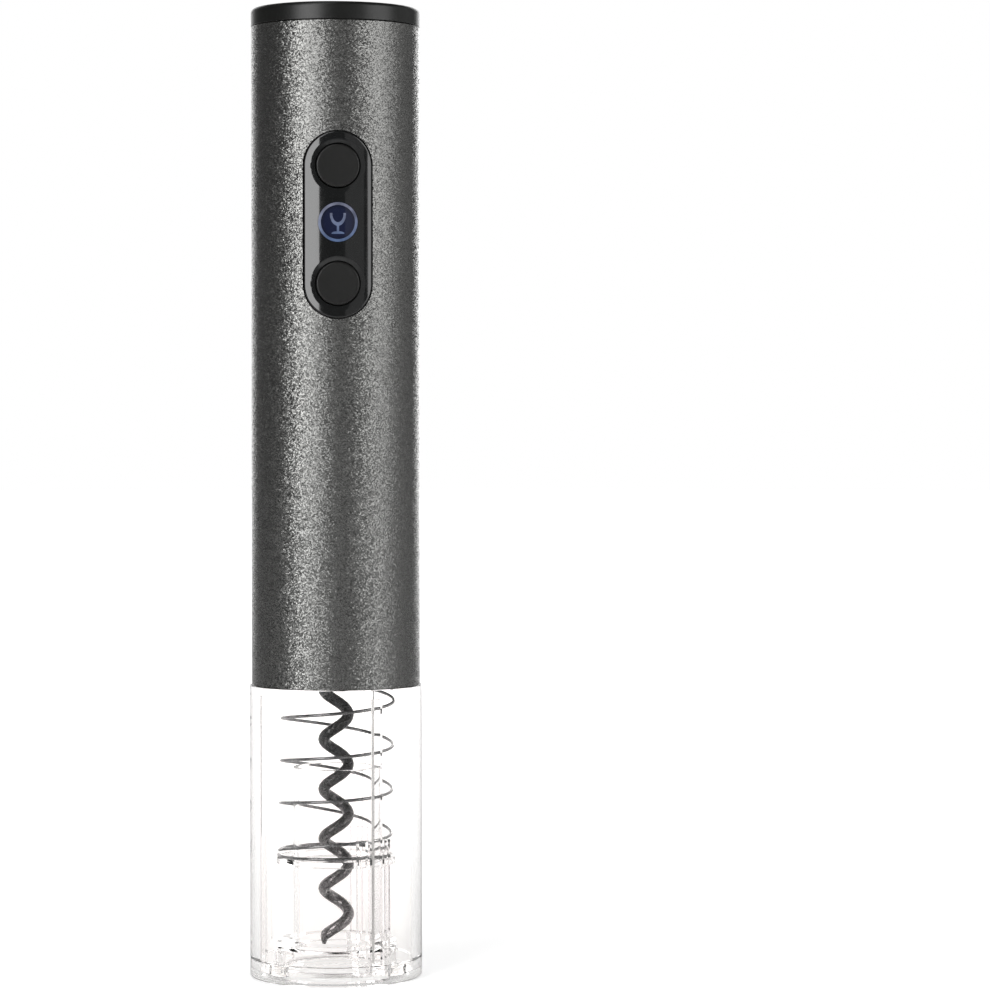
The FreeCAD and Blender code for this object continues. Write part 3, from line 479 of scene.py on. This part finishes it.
for angle in RAIL_ANGLES:
    shoe = [
        block(SHOE_PLATE, (-SHOE_HALF, SHOE_HALF), (carriage_low, SHOE_TOP), angle),
        block(WEB, (CLEAR_STEP - SHOE_HALF, SHOE_HALF - CLEAR_STEP), web_levels, angle),
        block(CHEEK, CHEEK_SIDE, cheek_levels, angle),
        block(CHEEK, (-CHEEK_SIDE[1], -CHEEK_SIDE[0]), cheek_levels, angle),
    ]
    combine(carriage, shoe, "UNION")
shade_turned(carriage)
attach(carriage, "carriage")
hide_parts("cork_carriage")


# ---- clear sleeve -----------------------------------------------------------------------------------
# The clear window tube: a thick moulded wall with three guide rails inside, a spigot that the
# painted tube covers, and four snap tabs that hold the base ring.
SLEEVE_BORE = 21.8
SPIGOT = (22.9, 21.3)
sleeve_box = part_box("clear_sleeve")
tube_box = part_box("outer_tube")
sleeve_radius = sleeve_box[1].x / MM
sleeve_top = tube_box[0].z / MM
spigot_root = sleeve_top + 0.4
SLEEVE_LOW = 5.3
SNAP_ANGLES = [math.radians(degrees) for degrees in (45, 135, 225, 315)]
RAIL = (20.2, 22.6)
RAIL_HALF = 1.25
RAIL_TOP = 80.3
TAB = (22.55, 23.55)
TAB_HALF = 2.9
TAB_LOW = 2.6
BARB = (23.4, 24.2)
BARB_HALF = 2.7
BARB_LEVELS = (3.3, 4.5)
# The same clear plastic in a thick wall, with faint grey lines of painted shade where the eye runs along
# the wall and the rails. Its index too is set a little under that of the real plastic.
sleeve_plastic = clear_plastic("clear_moulded_sleeve", "#FEFDFC", "#EFECEC", 0.015, 0.005, 1.42)
sleeve_outline = [
    (SLEEVE_BORE, SLEEVE_LOW), (sleeve_radius, SLEEVE_LOW), (sleeve_radius, sleeve_top),
    (SPIGOT[0], sleeve_top), (SPIGOT[0], sleeve_box[1].z / MM), (SPIGOT[1], sleeve_box[1].z / MM),
    (SPIGOT[1], spigot_root), (SLEEVE_BORE, spigot_root),
]
sleeve = piece(soften(lathe(sleeve_outline), 0.2), "clear_sleeve_tube", sleeve_plastic)
rails = [block(RAIL, (-RAIL_HALF, RAIL_HALF), (SLEEVE_LOW + 0.3, RAIL_TOP), angle)
         for angle in RAIL_ANGLES]
tabs = [block(TAB, (-TAB_HALF, TAB_HALF), (TAB_LOW, SLEEVE_LOW + 0.6), angle) for angle in SNAP_ANGLES]
barbs = [block(BARB, (-BARB_HALF, BARB_HALF), BARB_LEVELS, angle) for angle in SNAP_ANGLES]
combine(sleeve, rails + tabs + barbs, "UNION")
shade_turned(sleeve)
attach(sleeve, "housing")
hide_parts("clear_sleeve")


# ---- base ring --------------------------------------------------------------------------------------
# The clear ring that the opener stands on, with the bottle mouth, and four windows that the
# sleeve's snap tabs click into. Its foot edge is chamfered.
MOUTH_RADIUS = 15.0
FLOOR_TOP = 2.3
POCKET = (22.35, 23.75)
POCKET_HALF = 3.15
SNAP_WINDOW = (23.0, 25.5)
SNAP_WINDOW_HALF = 3.0
SNAP_WINDOW_LEVELS = (3.1, 4.7)
FOOT_CHAMFER = 0.45
MOUTH_CHAMFER = 0.5
# The same clear plastic again, with a little more painted grey shade at grazing angles along the ring's
# walls.
base_plastic = clear_plastic("clear_moulded_base", "#FEFDFC", "#E8E5E4", 0.02, 0.005, 1.36)
base_outline = [
    (MOUTH_RADIUS + MOUTH_CHAMFER, 0), (sleeve_radius - FOOT_CHAMFER, 0), (sleeve_radius, FOOT_CHAMFER),
    (sleeve_radius, SLEEVE_LOW), (SLEEVE_BORE, SLEEVE_LOW), (SLEEVE_BORE, FLOOR_TOP),
    (MOUTH_RADIUS, FLOOR_TOP), (MOUTH_RADIUS, MOUTH_CHAMFER),
]
base = piece(soften(lathe(base_outline), 0.18, crease=60), "clear_base_ring", base_plastic)
pockets = [block(POCKET, (-POCKET_HALF, POCKET_HALF), (FLOOR_TOP, SLEEVE_LOW + 1), angle)
           for angle in SNAP_ANGLES]
windows = [block(SNAP_WINDOW, (-SNAP_WINDOW_HALF, SNAP_WINDOW_HALF), SNAP_WINDOW_LEVELS, angle)
           for angle in SNAP_ANGLES]
combine(base, pockets + windows, "DIFFERENCE")
shade_turned(base)
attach(base, "housing")
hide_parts("base_ring")


# ---- outer tube -------------------------------------------------------------------------------------
# The drawn aluminium tube of the body, sprayed with a coarse metallic paint. A window with
# rounded ends is cut in it for the control panel.
tube_radius = tube_box[1].x / MM
tube_levels = (tube_box[0].z / MM, tube_box[1].z / MM)
TUBE_WALL = 1.0
WINDOW = (19.6, 52.7)
PANEL_MIDDLE = 213.3
FLAKE = 0.24
FLAKE_TILT = 0.42
END_STEPS = 96


def stadium(width, height, middle, front, back):
    """A plate with round ends that faces the front, between two depths, in millimetres."""
    mesh = bmesh.new()
    rim = bmesh.ops.create_circle(mesh, radius=width / 2 * MM, segments=END_STEPS)["verts"]
    bmesh.ops.rotate(mesh, cent=(0, 0, 0), matrix=Matrix.Rotation(math.pi / END_STEPS, 3, "Z"), verts=rim)
    for end in (1, -1):
        half = [vert for vert in rim if vert.co.y * end > 0]
        bmesh.ops.translate(mesh, vec=(0, end * (height - width) / 2 * MM, 0), verts=half)
    face = bmesh.ops.contextual_create(mesh, geom=mesh.edges[:])["faces"]
    bmesh.ops.rotate(mesh, cent=(0, 0, 0), matrix=Matrix.Rotation(math.pi / 2, 3, "X"), verts=mesh.verts)
    bmesh.ops.translate(mesh, vec=(0, front * MM, middle * MM), verts=mesh.verts)
    grown = bmesh.ops.extrude_face_region(mesh, geom=face)["geom"]
    moved = [part for part in grown if isinstance(part, bmesh.types.BMVert)]
    bmesh.ops.translate(mesh, vec=(0, (back - front) * MM, 0), verts=moved)
    bmesh.ops.recalc_face_normals(mesh, faces=mesh.faces)
    return mesh


def flake_paint(name):
    """Coarse metallic paint: each flake lies at its own slight tilt, so that it sparkles. A real
    flake is about 0.05 mm, too fine to show, so FLAKE draws it about five times coarser."""
    material = blank_material(name)
    place = add_node(material, "ShaderNodeTexCoord")
    flakes = add_node(material, "ShaderNodeTexVoronoi",
                      {"Vector": place.outputs["Object"], "Scale": 1 / (FLAKE * MM)})
    level = add_node(material, "ShaderNodeVectorMath",
                     {0: flakes.outputs["Color"], 1: (0.5, 0.5, 0.5)}, operation="SUBTRACT")
    tilt = add_node(material, "ShaderNodeVectorMath",
                    {0: level.outputs[0], "Scale": FLAKE_TILT}, operation="SCALE")
    ground = add_node(material, "ShaderNodeNewGeometry")
    leaning = add_node(material, "ShaderNodeVectorMath",
                       {0: ground.outputs["Normal"], 1: tilt.outputs[0]}, operation="ADD")
    facet = add_node(material, "ShaderNodeVectorMath", {0: leaning.outputs[0]}, operation="NORMALIZE")
    shade = add_node(material, "ShaderNodeSeparateColor", {0: flakes.outputs["Color"]})
    colour = add_node(material, "ShaderNodeMix",
                      {0: shade.outputs[0], MIX_A: linear("#5A5A59"), MIX_B: linear("#8C8C8A")},
                      data_type="RGBA")
    surface = add_node(material, "ShaderNodeBsdfPrincipled",
                       {"Base Color": colour.outputs[MIX_RESULT], "Metallic": 0.95, "Roughness": 0.24,
                        "Coat Weight": 0.05, "Coat Roughness": 0.3, "Normal": facet.outputs[0]})
    add_node(material, "ShaderNodeOutputMaterial", {"Surface": surface.outputs[0]})
    return material


# Grey flake lacquer over aluminium: metallic, and broken up into fine bright and dark specks.
gunmetal_paint = flake_paint("sprayed_gunmetal_flake_paint")
tube_outline = [
    (tube_radius - TUBE_WALL, tube_levels[0]), (tube_radius, tube_levels[0]),
    (tube_radius, tube_levels[1]), (tube_radius - TUBE_WALL, tube_levels[1]),
]
tube = piece(soften(lathe(tube_outline), 0.15), "painted_outer_tube", gunmetal_paint)
combine(tube, [stadium(*WINDOW, PANEL_MIDDLE, -tube_radius - 2, -tube_radius + 12)], "DIFFERENCE")
shade_turned(tube)
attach(tube, "housing")
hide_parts("outer_tube")


# ---- control panel ----------------------------------------------------------------------------------
# The glossy black moulding pushed out through the tube's window. Its face follows the tube, its
# rim is rounded, and a shallow dish leads the finger to each button.
PANEL = (19.0, 52.1)
PANEL_FACE = 24.3
PANEL_BACK = 21.9
LIP = (23.0, 56.1)
LIP_FACE = 22.7
BUTTON_HEIGHTS = (229.7, 196.9)
LENS_HEIGHT = 214.0
LENS_RADIUS = 5.65
LENS_GAP = 0.03
DISH_RADIUS = 7.7
DISH_DEPTH = 0.55
BUTTON_HOLE = 6.4
PANEL_RIM = 0.42
CUT_DEPTHS = (15, 30)  # the radii between which the round cuts run
SLICE = 0.45


def facing_front(mesh, height):
    """Lays a turned shape, whose top pointed up, so that its top points to the front."""
    bmesh.ops.rotate(mesh, cent=(0, 0, 0), matrix=Matrix.Rotation(math.pi / 2, 3, "X"), verts=mesh.verts)
    bmesh.ops.translate(mesh, vec=(0, 0, height * MM), verts=mesh.verts)
    return mesh


def round_cut(radius):
    """A plain round plug that cuts a hole, in millimetres."""
    low, high = CUT_DEPTHS
    return lathe([(0, low), (radius, low), (radius, high), (0, high)], END_STEPS, closed=False)


def follow_tube(made, half_width):
    """Slices a flat piece upright and sets each slice back, so that it curves with the tube."""
    mesh = bmesh.new()
    mesh.from_mesh(made.data)
    steps = int(half_width / SLICE)
    for step in range(-steps, steps + 1):
        bmesh.ops.bisect_plane(mesh, geom=mesh.verts[:] + mesh.edges[:] + mesh.faces[:], dist=0.0005 * MM,
                               plane_co=(step * SLICE * MM, 0, 0), plane_no=(1, 0, 0))
    bmesh.ops.remove_doubles(mesh, verts=mesh.verts, dist=0.004 * MM)
    bmesh.ops.dissolve_degenerate(mesh, edges=mesh.edges, dist=0.002 * MM)
    for vert in mesh.verts:
        vert.co.y += PANEL_FACE * MM - math.sqrt((PANEL_FACE * MM) ** 2 - vert.co.x ** 2)
    bmesh.ops.recalc_face_normals(mesh, faces=mesh.faces)
    mesh.to_mesh(made.data)
    mesh.free()
    return made


# Black ABS, polished to a mirror, with hairline wiping marks.
gloss_black = grained("polished_black_abs", "#0B0C0C", "#121313", 1.6, 0.0015, (0.08, 0.14), (1, 1, 3),
                      **{"Coat Weight": 0.8, "Coat Roughness": 0.05})
face_plate = stadium(*PANEL, PANEL_MIDDLE, -PANEL_FACE, -PANEL_BACK)
front_rim = [edge for edge in face_plate.edges
             if all(abs(vert.co.y + PANEL_FACE * MM) < 1e-6 for vert in edge.verts)]
bmesh.ops.bevel(face_plate, geom=front_rim, offset=PANEL_RIM * MM, offset_type="OFFSET", segments=6,
                profile=0.5, affect="EDGES", material=-1)
panel = piece(face_plate, "control_panel_face", gloss_black)
combine(panel, [stadium(*LIP, PANEL_MIDDLE, -LIP_FACE, -PANEL_BACK)], "UNION")
dish_curve = [(DISH_RADIUS * share, PANEL_FACE - DISH_DEPTH * (1 - share ** 2))
              for share in [step / 14 for step in range(15)]]
for height in BUTTON_HEIGHTS:
    dish = lathe(dish_curve + [(DISH_RADIUS, CUT_DEPTHS[1]), (0, CUT_DEPTHS[1])], END_STEPS, closed=False)
    hole = round_cut(BUTTON_HOLE)
    combine(panel, [facing_front(dish, height), facing_front(hole, height)], "DIFFERENCE")
combine(panel, [facing_front(round_cut(LENS_RADIUS + LENS_GAP), LENS_HEIGHT)], "DIFFERENCE")
follow_tube(panel, LIP[0] / 2)
shade_turned(panel, 30)
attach(panel, "housing")
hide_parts("control_panel")


# ---- light lens -------------------------------------------------------------------------------------
# The smoked plug between the buttons, flush with the panel. Behind its clear skin a plain ring
# and a wine glass are left unmasked, and the board's lamps light them pale blue.
PICTURE_DEPTH = 0.06
LEAK_RADIUS = 3.6
# Smoked polycarbonate: glossy and almost black, with lamp light showing through its middle.
smoked_lens = grained("smoked_polycarbonate", "#08090B", "#0D0F13", 1.6, 0.001, (0.05, 0.1),
                      **{"Coat Weight": 0.3, "Coat Roughness": 0.04, "Emission Color": linear("#2A3568")})
# Lamp light that leaks through the smoke tint, fading towards the lens's edge.
leak_place = add_node(smoked_lens, "ShaderNodeTexCoord")
leak_middle = add_node(smoked_lens, "ShaderNodeVectorMath",
                       {0: leak_place.outputs["Object"], 1: (0, -PANEL_FACE * MM, LENS_HEIGHT * MM)},
                       operation="DISTANCE")
leak = add_node(smoked_lens, "ShaderNodeMapRange",
                {"Value": leak_middle.outputs["Value"], "From Min": LEAK_RADIUS * MM,
                 "From Max": LENS_RADIUS * MM, "To Min": 0.22, "To Max": 0.03})
smoked_shader = next(part for part in smoked_lens.node_tree.nodes if part.type == "BSDF_PRINCIPLED")
smoked_lens.node_tree.links.new(leak.outputs[0], smoked_shader.inputs["Emission Strength"])
lens_face = PANEL_FACE - LENS_GAP
lens_outline = [(0, PANEL_BACK), (LENS_RADIUS, PANEL_BACK), (LENS_RADIUS, lens_face), (0, lens_face)]
lens = piece(facing_front(lathe(lens_outline, END_STEPS, closed=False), LENS_HEIGHT),
             "light_lens_plug", smoked_lens)
follow_tube(lens, LENS_RADIUS)
shade_turned(lens, 30)
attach(lens, "housing")
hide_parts("light_lens")


def band(mesh, outer, inner, tall, middle, low=None, high=None):
    """Adds a flat band between two rounds, cut off below or above a level, in millimetres."""
    edges = []
    for radius in (outer, inner):
        made = bmesh.ops.create_circle(mesh, radius=radius * MM, segments=72)["verts"]
        bmesh.ops.scale(mesh, vec=(1, tall, 1), verts=made)
        bmesh.ops.translate(mesh, vec=(0, middle * MM, 0), verts=made)
        edges += list({edge for vert in made for edge in vert.link_edges})
    faces = bmesh.ops.bridge_loops(mesh, edges=edges)["faces"]
    for level, side in ((low, -1), (high, 1)):
        if level is not None:
            near = list({item for face in faces if face.is_valid
                         for item in [face, *face.edges, *face.verts]})
            cut = bmesh.ops.bisect_plane(mesh, geom=near, plane_co=(0, level * MM, 0),
                                         plane_no=(0, side, 0), clear_outer=True)
            faces = [item for item in cut["geom"] if isinstance(item, bmesh.types.BMFace)]


def bar(mesh, width, low, high):
    """Adds a flat upright bar, in millimetres."""
    made = bmesh.ops.create_grid(mesh, x_segments=1, y_segments=1, size=0.5 * MM)["verts"]
    bmesh.ops.scale(mesh, vec=(width, high - low, 1), verts=made)
    bmesh.ops.translate(mesh, vec=(0, (high + low) / 2 * MM, 0), verts=made)


picture = bmesh.new()
band(picture, 5.5, 4.75, 1.0, 0)
band(picture, 2.25, 1.55, 1.45, 2.2, high=2.5)
bar(picture, 0.65, -2.7, -0.8)
band(picture, 1.8, 0.001, 0.32, -3.15, low=-3.3)
thick = bmesh.ops.extrude_face_region(picture, geom=picture.faces[:])["geom"]
bmesh.ops.translate(picture, vec=(0, 0, PICTURE_DEPTH * MM),
                    verts=[part for part in thick if isinstance(part, bmesh.types.BMVert)])
bmesh.ops.translate(picture, vec=(0, 0, (lens_face - PICTURE_DEPTH / 2) * MM), verts=picture.verts)
bmesh.ops.recalc_face_normals(picture, faces=picture.faces)
# Lamp light through the diffusing print: bluer low down, greyer and paler towards the top.
lamp_light = blank_material("lit_pictogram")
lamp_place = add_node(lamp_light, "ShaderNodeTexCoord")
lamp_patches = add_node(lamp_light, "ShaderNodeTexNoise",
                        {"Vector": lamp_place.outputs["Object"], "Scale": 1 / (2.5 * MM), "Detail": 2.0})
lamp_level = add_node(lamp_light, "ShaderNodeSeparateXYZ", {0: lamp_place.outputs["Object"]})
lamp_height = add_node(lamp_light, "ShaderNodeMapRange",
                       {"Value": lamp_level.outputs["Z"], "From Min": (LENS_HEIGHT - 5) * MM,
                        "From Max": (LENS_HEIGHT + 4) * MM})
lamp_power = add_node(lamp_light, "ShaderNodeMapRange",
                      {"Value": lamp_patches.outputs[0], "From Min": 0.3, "From Max": 0.7,
                       "To Min": 0.55, "To Max": 1.15})
lamp_colour = add_node(lamp_light, "ShaderNodeMix",
                       {0: lamp_height.outputs[0], MIX_A: linear("#566A8E"), MIX_B: linear("#727588")},
                       data_type="RGBA")
lamp_surface = add_node(lamp_light, "ShaderNodeBsdfPrincipled",
                        {"Base Color": linear("#0D1018"), "Roughness": 0.2,
                         "Emission Color": lamp_colour.outputs[MIX_RESULT],
                         "Emission Strength": lamp_power.outputs[0]})
add_node(lamp_light, "ShaderNodeOutputMaterial", {"Surface": lamp_surface.outputs[0]})
pictogram = piece(facing_front(picture, LENS_HEIGHT), "lamp_pictogram", lamp_light)
follow_tube(pictogram, LENS_RADIUS)
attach(pictogram, "housing")


# ---- push buttons -----------------------------------------------------------------------------------
# Two round keys moulded in black with a fine spark finish. A flange behind the panel keeps each
# one in, and its rim is rounded.
# Black ABS from a spark-eroded tool: soft, even, without a mirror.
button_plastic = grained("spark_finished_black_abs", "#0D0D0C", "#151514", 0.22, 0.008, (0.34, 0.46))
BUTTON_RADIUS = 6.0
FLANGE_RADIUS = 6.7
FLANGE_THICKNESS = 0.6
RIM = 0.4
for body, name, node, height in (("upper_button", "upper_push_button", "button_upper", BUTTON_HEIGHTS[0]),
                                 ("lower_button", "lower_push_button", "button_lower", BUTTON_HEIGHTS[1])):
    front = -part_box(node)[0].y / MM
    back = -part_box(node)[1].y / MM
    outline = [(0, back), (FLANGE_RADIUS, back), (FLANGE_RADIUS, back + FLANGE_THICKNESS),
               (BUTTON_RADIUS, back + FLANGE_THICKNESS),
               (BUTTON_RADIUS, front - RIM)]
    outline += [(BUTTON_RADIUS - RIM + RIM * math.cos(math.radians(turned)),
                 front - RIM + RIM * math.sin(math.radians(turned))) for turned in range(15, 91, 15)]
    outline += [(BUTTON_RADIUS - RIM - 0.5, front - 0.01), (3.0, front - 0.07), (0, front - 0.1)]
    key = piece(facing_front(lathe(outline, END_STEPS, closed=False), height), name, button_plastic)
    key.data.shade_smooth()
    key.data.set_sharp_from_angle(angle=math.radians(35))
    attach(key, body)
    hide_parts(node)


# ---- top cap ----------------------------------------------------------------------------------------
# The push-fit battery cap: a satin black moulding with a rounded rim, a skirt with a seal groove,
# and ribs under the crown that carry the upper battery contact.
cap_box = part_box("top_cap")
cap_radius = cap_box[1].x / MM
cap_levels = (cap_box[0].z / MM, cap_box[1].z / MM)
CROWN_LOW = 270.5
CAP_FILLET = 1.2
SKIRT = (22.8, 20.6)
SEAL_GROOVE = (266.95, 268.65)
GROOVE_FLOOR = 21.4
CAP_HOLLOW = (21.0, 273.1)
HOLLOW_STEP = 272.0
RIB_HALF = 0.6
RIB_LEVELS = (268.0, 273.5)
RIB_ENDS = (20.75, 16.95)
# Black ABS with a satin face: dark and even, with a soft broad highlight on its rounded rim.
satin_black = grained("satin_black_abs", "#090A09", "#0F100E", 0.3, 0.006, (0.28, 0.4))
cap_outline = [
    (0, CAP_HOLLOW[1]), CAP_HOLLOW, (CAP_HOLLOW[0], HOLLOW_STEP), (SKIRT[1], HOLLOW_STEP),
    (SKIRT[1], cap_levels[0]), (SKIRT[0], cap_levels[0]), (SKIRT[0], SEAL_GROOVE[0]),
    (GROOVE_FLOOR, SEAL_GROOVE[0]), (GROOVE_FLOOR, SEAL_GROOVE[1]), (SKIRT[0], SEAL_GROOVE[1]),
    (SKIRT[0], CROWN_LOW),
    (cap_radius - 0.15, CROWN_LOW), (cap_radius, CROWN_LOW + 0.15),
]
cap_outline += [(cap_radius - CAP_FILLET + CAP_FILLET * math.cos(math.radians(turned)),
                 cap_levels[1] - CAP_FILLET + CAP_FILLET * math.sin(math.radians(turned)))
                for turned in range(0, 91, 15)]
cap_outline += [(0, cap_levels[1])]
cap = piece(lathe(cap_outline, closed=False), "battery_cap", satin_black)
cap_ribs = [block((-RIB_ENDS[0], RIB_ENDS[0]), (y - RIB_HALF, y + RIB_HALF), RIB_LEVELS)
            for y in (-8.0, 5.0)]
cap_ribs += [block((x - RIB_HALF, x + RIB_HALF), (-RIB_ENDS[1], RIB_ENDS[1]), RIB_LEVELS)
             for x in (-7.6, 0.0, 7.6)]
combine(cap, cap_ribs, "UNION")
shade_turned(cap)
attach(cap, "cap")
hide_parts("top_cap")
# Nitrile rubber seal, moulded, matte.
seal_rubber = grained("moulded_nitrile_rubber", "#101011", "#19191A", 0.4, 0.008, (0.55, 0.7))
finish_nodes(seal_rubber, "cap_seal")


# ---- studio -----------------------------------------------------------------------------------------
# A plain pale floor under even white surroundings, a large soft light to the left, a weaker one
# to the right with two faint fills beside it, a small one above, and two faint ones behind.
FLOOR_RADIUS = 6.0
THROUGH = 0.9
floor_mesh = bmesh.new()
bmesh.ops.create_circle(floor_mesh, cap_ends=True, radius=FLOOR_RADIUS, segments=96)
white_floor = blank_material("white_studio_floor")


def seen_directly(owner, behind):
    """1 for what the eye sees, THROUGH for what reaches it from behind the object after a bounce in
    clear plastic, and 0 for what only lights things. behind is 0 in front of the object, 1 behind."""
    ray = add_node(owner, "ShaderNodeLightPath")
    bounces = add_node(owner, "ShaderNodeMath",
                       {0: ray.outputs["Diffuse Depth"], 1: ray.outputs["Glossy Depth"]}, operation="ADD")
    direct = add_node(owner, "ShaderNodeMath", {0: bounces.outputs[0], 1: 0.5}, operation="LESS_THAN")
    bounced = add_node(owner, "ShaderNodeMath",
                       {0: ray.outputs["Is Transmission Ray"], 1: behind}, operation="MULTIPLY")
    dimmed = add_node(owner, "ShaderNodeMath", {0: bounced.outputs[0], 1: THROUGH}, operation="MULTIPLY")
    share = add_node(owner, "ShaderNodeMath",
                     {0: direct.outputs[0], 1: dimmed.outputs[0]}, operation="MAXIMUM")
    return share.outputs[0]


floor_place = add_node(white_floor, "ShaderNodeTexCoord")
from_object = add_node(white_floor, "ShaderNodeVectorMath",
                       {0: floor_place.outputs["Object"]}, operation="LENGTH")
paler = add_node(white_floor, "ShaderNodeMapRange",
                 {"Value": from_object.outputs["Value"], "From Min": 0.03, "From Max": 0.5,
                  "To Min": 0.62, "To Max": 1.0})
floor_parts = add_node(white_floor, "ShaderNodeSeparateXYZ", {0: floor_place.outputs["Object"]})
floor_behind = add_node(white_floor, "ShaderNodeMapRange",
                        {"Value": floor_parts.outputs["Y"], "From Min": -0.06, "From Max": 0.02})
glow = add_node(white_floor, "ShaderNodeMath",
                {0: seen_directly(white_floor, floor_behind.outputs[0]), 1: paler.outputs[0]},
                operation="MULTIPLY")
floor_surface = add_node(white_floor, "ShaderNodeBsdfPrincipled",
                         {"Base Color": linear("#F2F2F2"), "Roughness": 0.9,
                          "Emission Color": linear("#FFFFFF"), "Emission Strength": glow.outputs[0]})
add_node(white_floor, "ShaderNodeOutputMaterial", {"Surface": floor_surface.outputs[0]})
floor = piece(floor_mesh, "studio_floor", white_floor)

world = bpy.data.worlds.new("white_studio")
bpy.context.scene.world = world
world.use_nodes = True
world.node_tree.nodes.clear()
direction = add_node(world, "ShaderNodeTexCoord")
parts = add_node(world, "ShaderNodeSeparateXYZ", {0: direction.outputs["Generated"]})
room = add_node(world, "ShaderNodeMapRange",
                {"Value": parts.outputs["Y"], "From Min": 0.72, "From Max": 1.0,
                 "To Min": 0.08, "To Max": 0.7})
dim = add_node(world, "ShaderNodeBackground", {"Color": linear("#FFFFFF"), "Strength": room.outputs[0]})
bright = add_node(world, "ShaderNodeBackground", {"Color": linear("#FFFFFF"), "Strength": 1.0})
world_behind = add_node(world, "ShaderNodeMapRange",
                        {"Value": parts.outputs["Y"], "From Min": -0.25, "From Max": 0.2})
mixed = add_node(world, "ShaderNodeMixShader",
                 {0: seen_directly(world, world_behind.outputs[0]), 1: dim.outputs[0],
                  2: bright.outputs[0]})
add_node(world, "ShaderNodeOutputWorld", {"Surface": mixed.outputs[0]})


def soft_light(name, azimuth, height, distance, size, power):
    """A tall soft box that looks at the object from an azimuth, where 0 is the front."""
    data = bpy.data.lights.new(name, "AREA")
    data.shape = "RECTANGLE"
    data.size, data.size_y = size
    data.energy = power
    made = bpy.data.objects.new(name, data)
    bpy.context.collection.objects.link(made)
    turned = math.radians(azimuth)
    made.location = (distance * math.sin(turned), -distance * math.cos(turned), height)
    aim = Vector((0, 0, 0.16)) - made.location
    made.rotation_euler = aim.to_track_quat("-Z", "Y").to_euler()
    return made


soft_light("left_soft_box", -38.5, 0.5, 1.5, (0.85, 1.2), 13.5)
soft_light("right_soft_box", 60, 0.5, 1.5, (1.0, 1.2), 8.6)
soft_light("right_fill", 24, 0.5, 1.5, (0.7, 1.2), 0.6)
soft_light("right_side_fill", 108, 0.5, 1.5, (0.9, 1.2), 1.0)
soft_light("top_soft_box", -35, 1.5, 0.9, (0.6, 0.6), 3)
soft_light("rear_left_soft_box", -165, 0.4, 1.6, (0.5, 1.3), 3)
soft_light("rear_right_soft_box", 160, 0.4, 1.6, (0.5, 1.3), 5)

# The camera stands a little to the left of straight in front, 1.03 m away, at 163 mm height.
camera_data = bpy.data.cameras.new("camera")
camera_data.lens = 131.0
camera_data.sensor_width = 36
camera = bpy.data.objects.new("camera", camera_data)
bpy.context.collection.objects.link(camera)
camera.location = (-0.0288, -1.0293, 0.1626)
camera.rotation_euler = (math.radians(90 - 1.405), 0, math.radians(-4.134))
bpy.context.scene.camera = camera
bpy.context.scene.view_settings.view_transform = "Standard"
# Light crosses up to ten clear walls here, so it may pass more faces than usual.
bpy.context.scene.cycles.max_bounces = 32
bpy.context.scene.cycles.transmission_bounces = 32
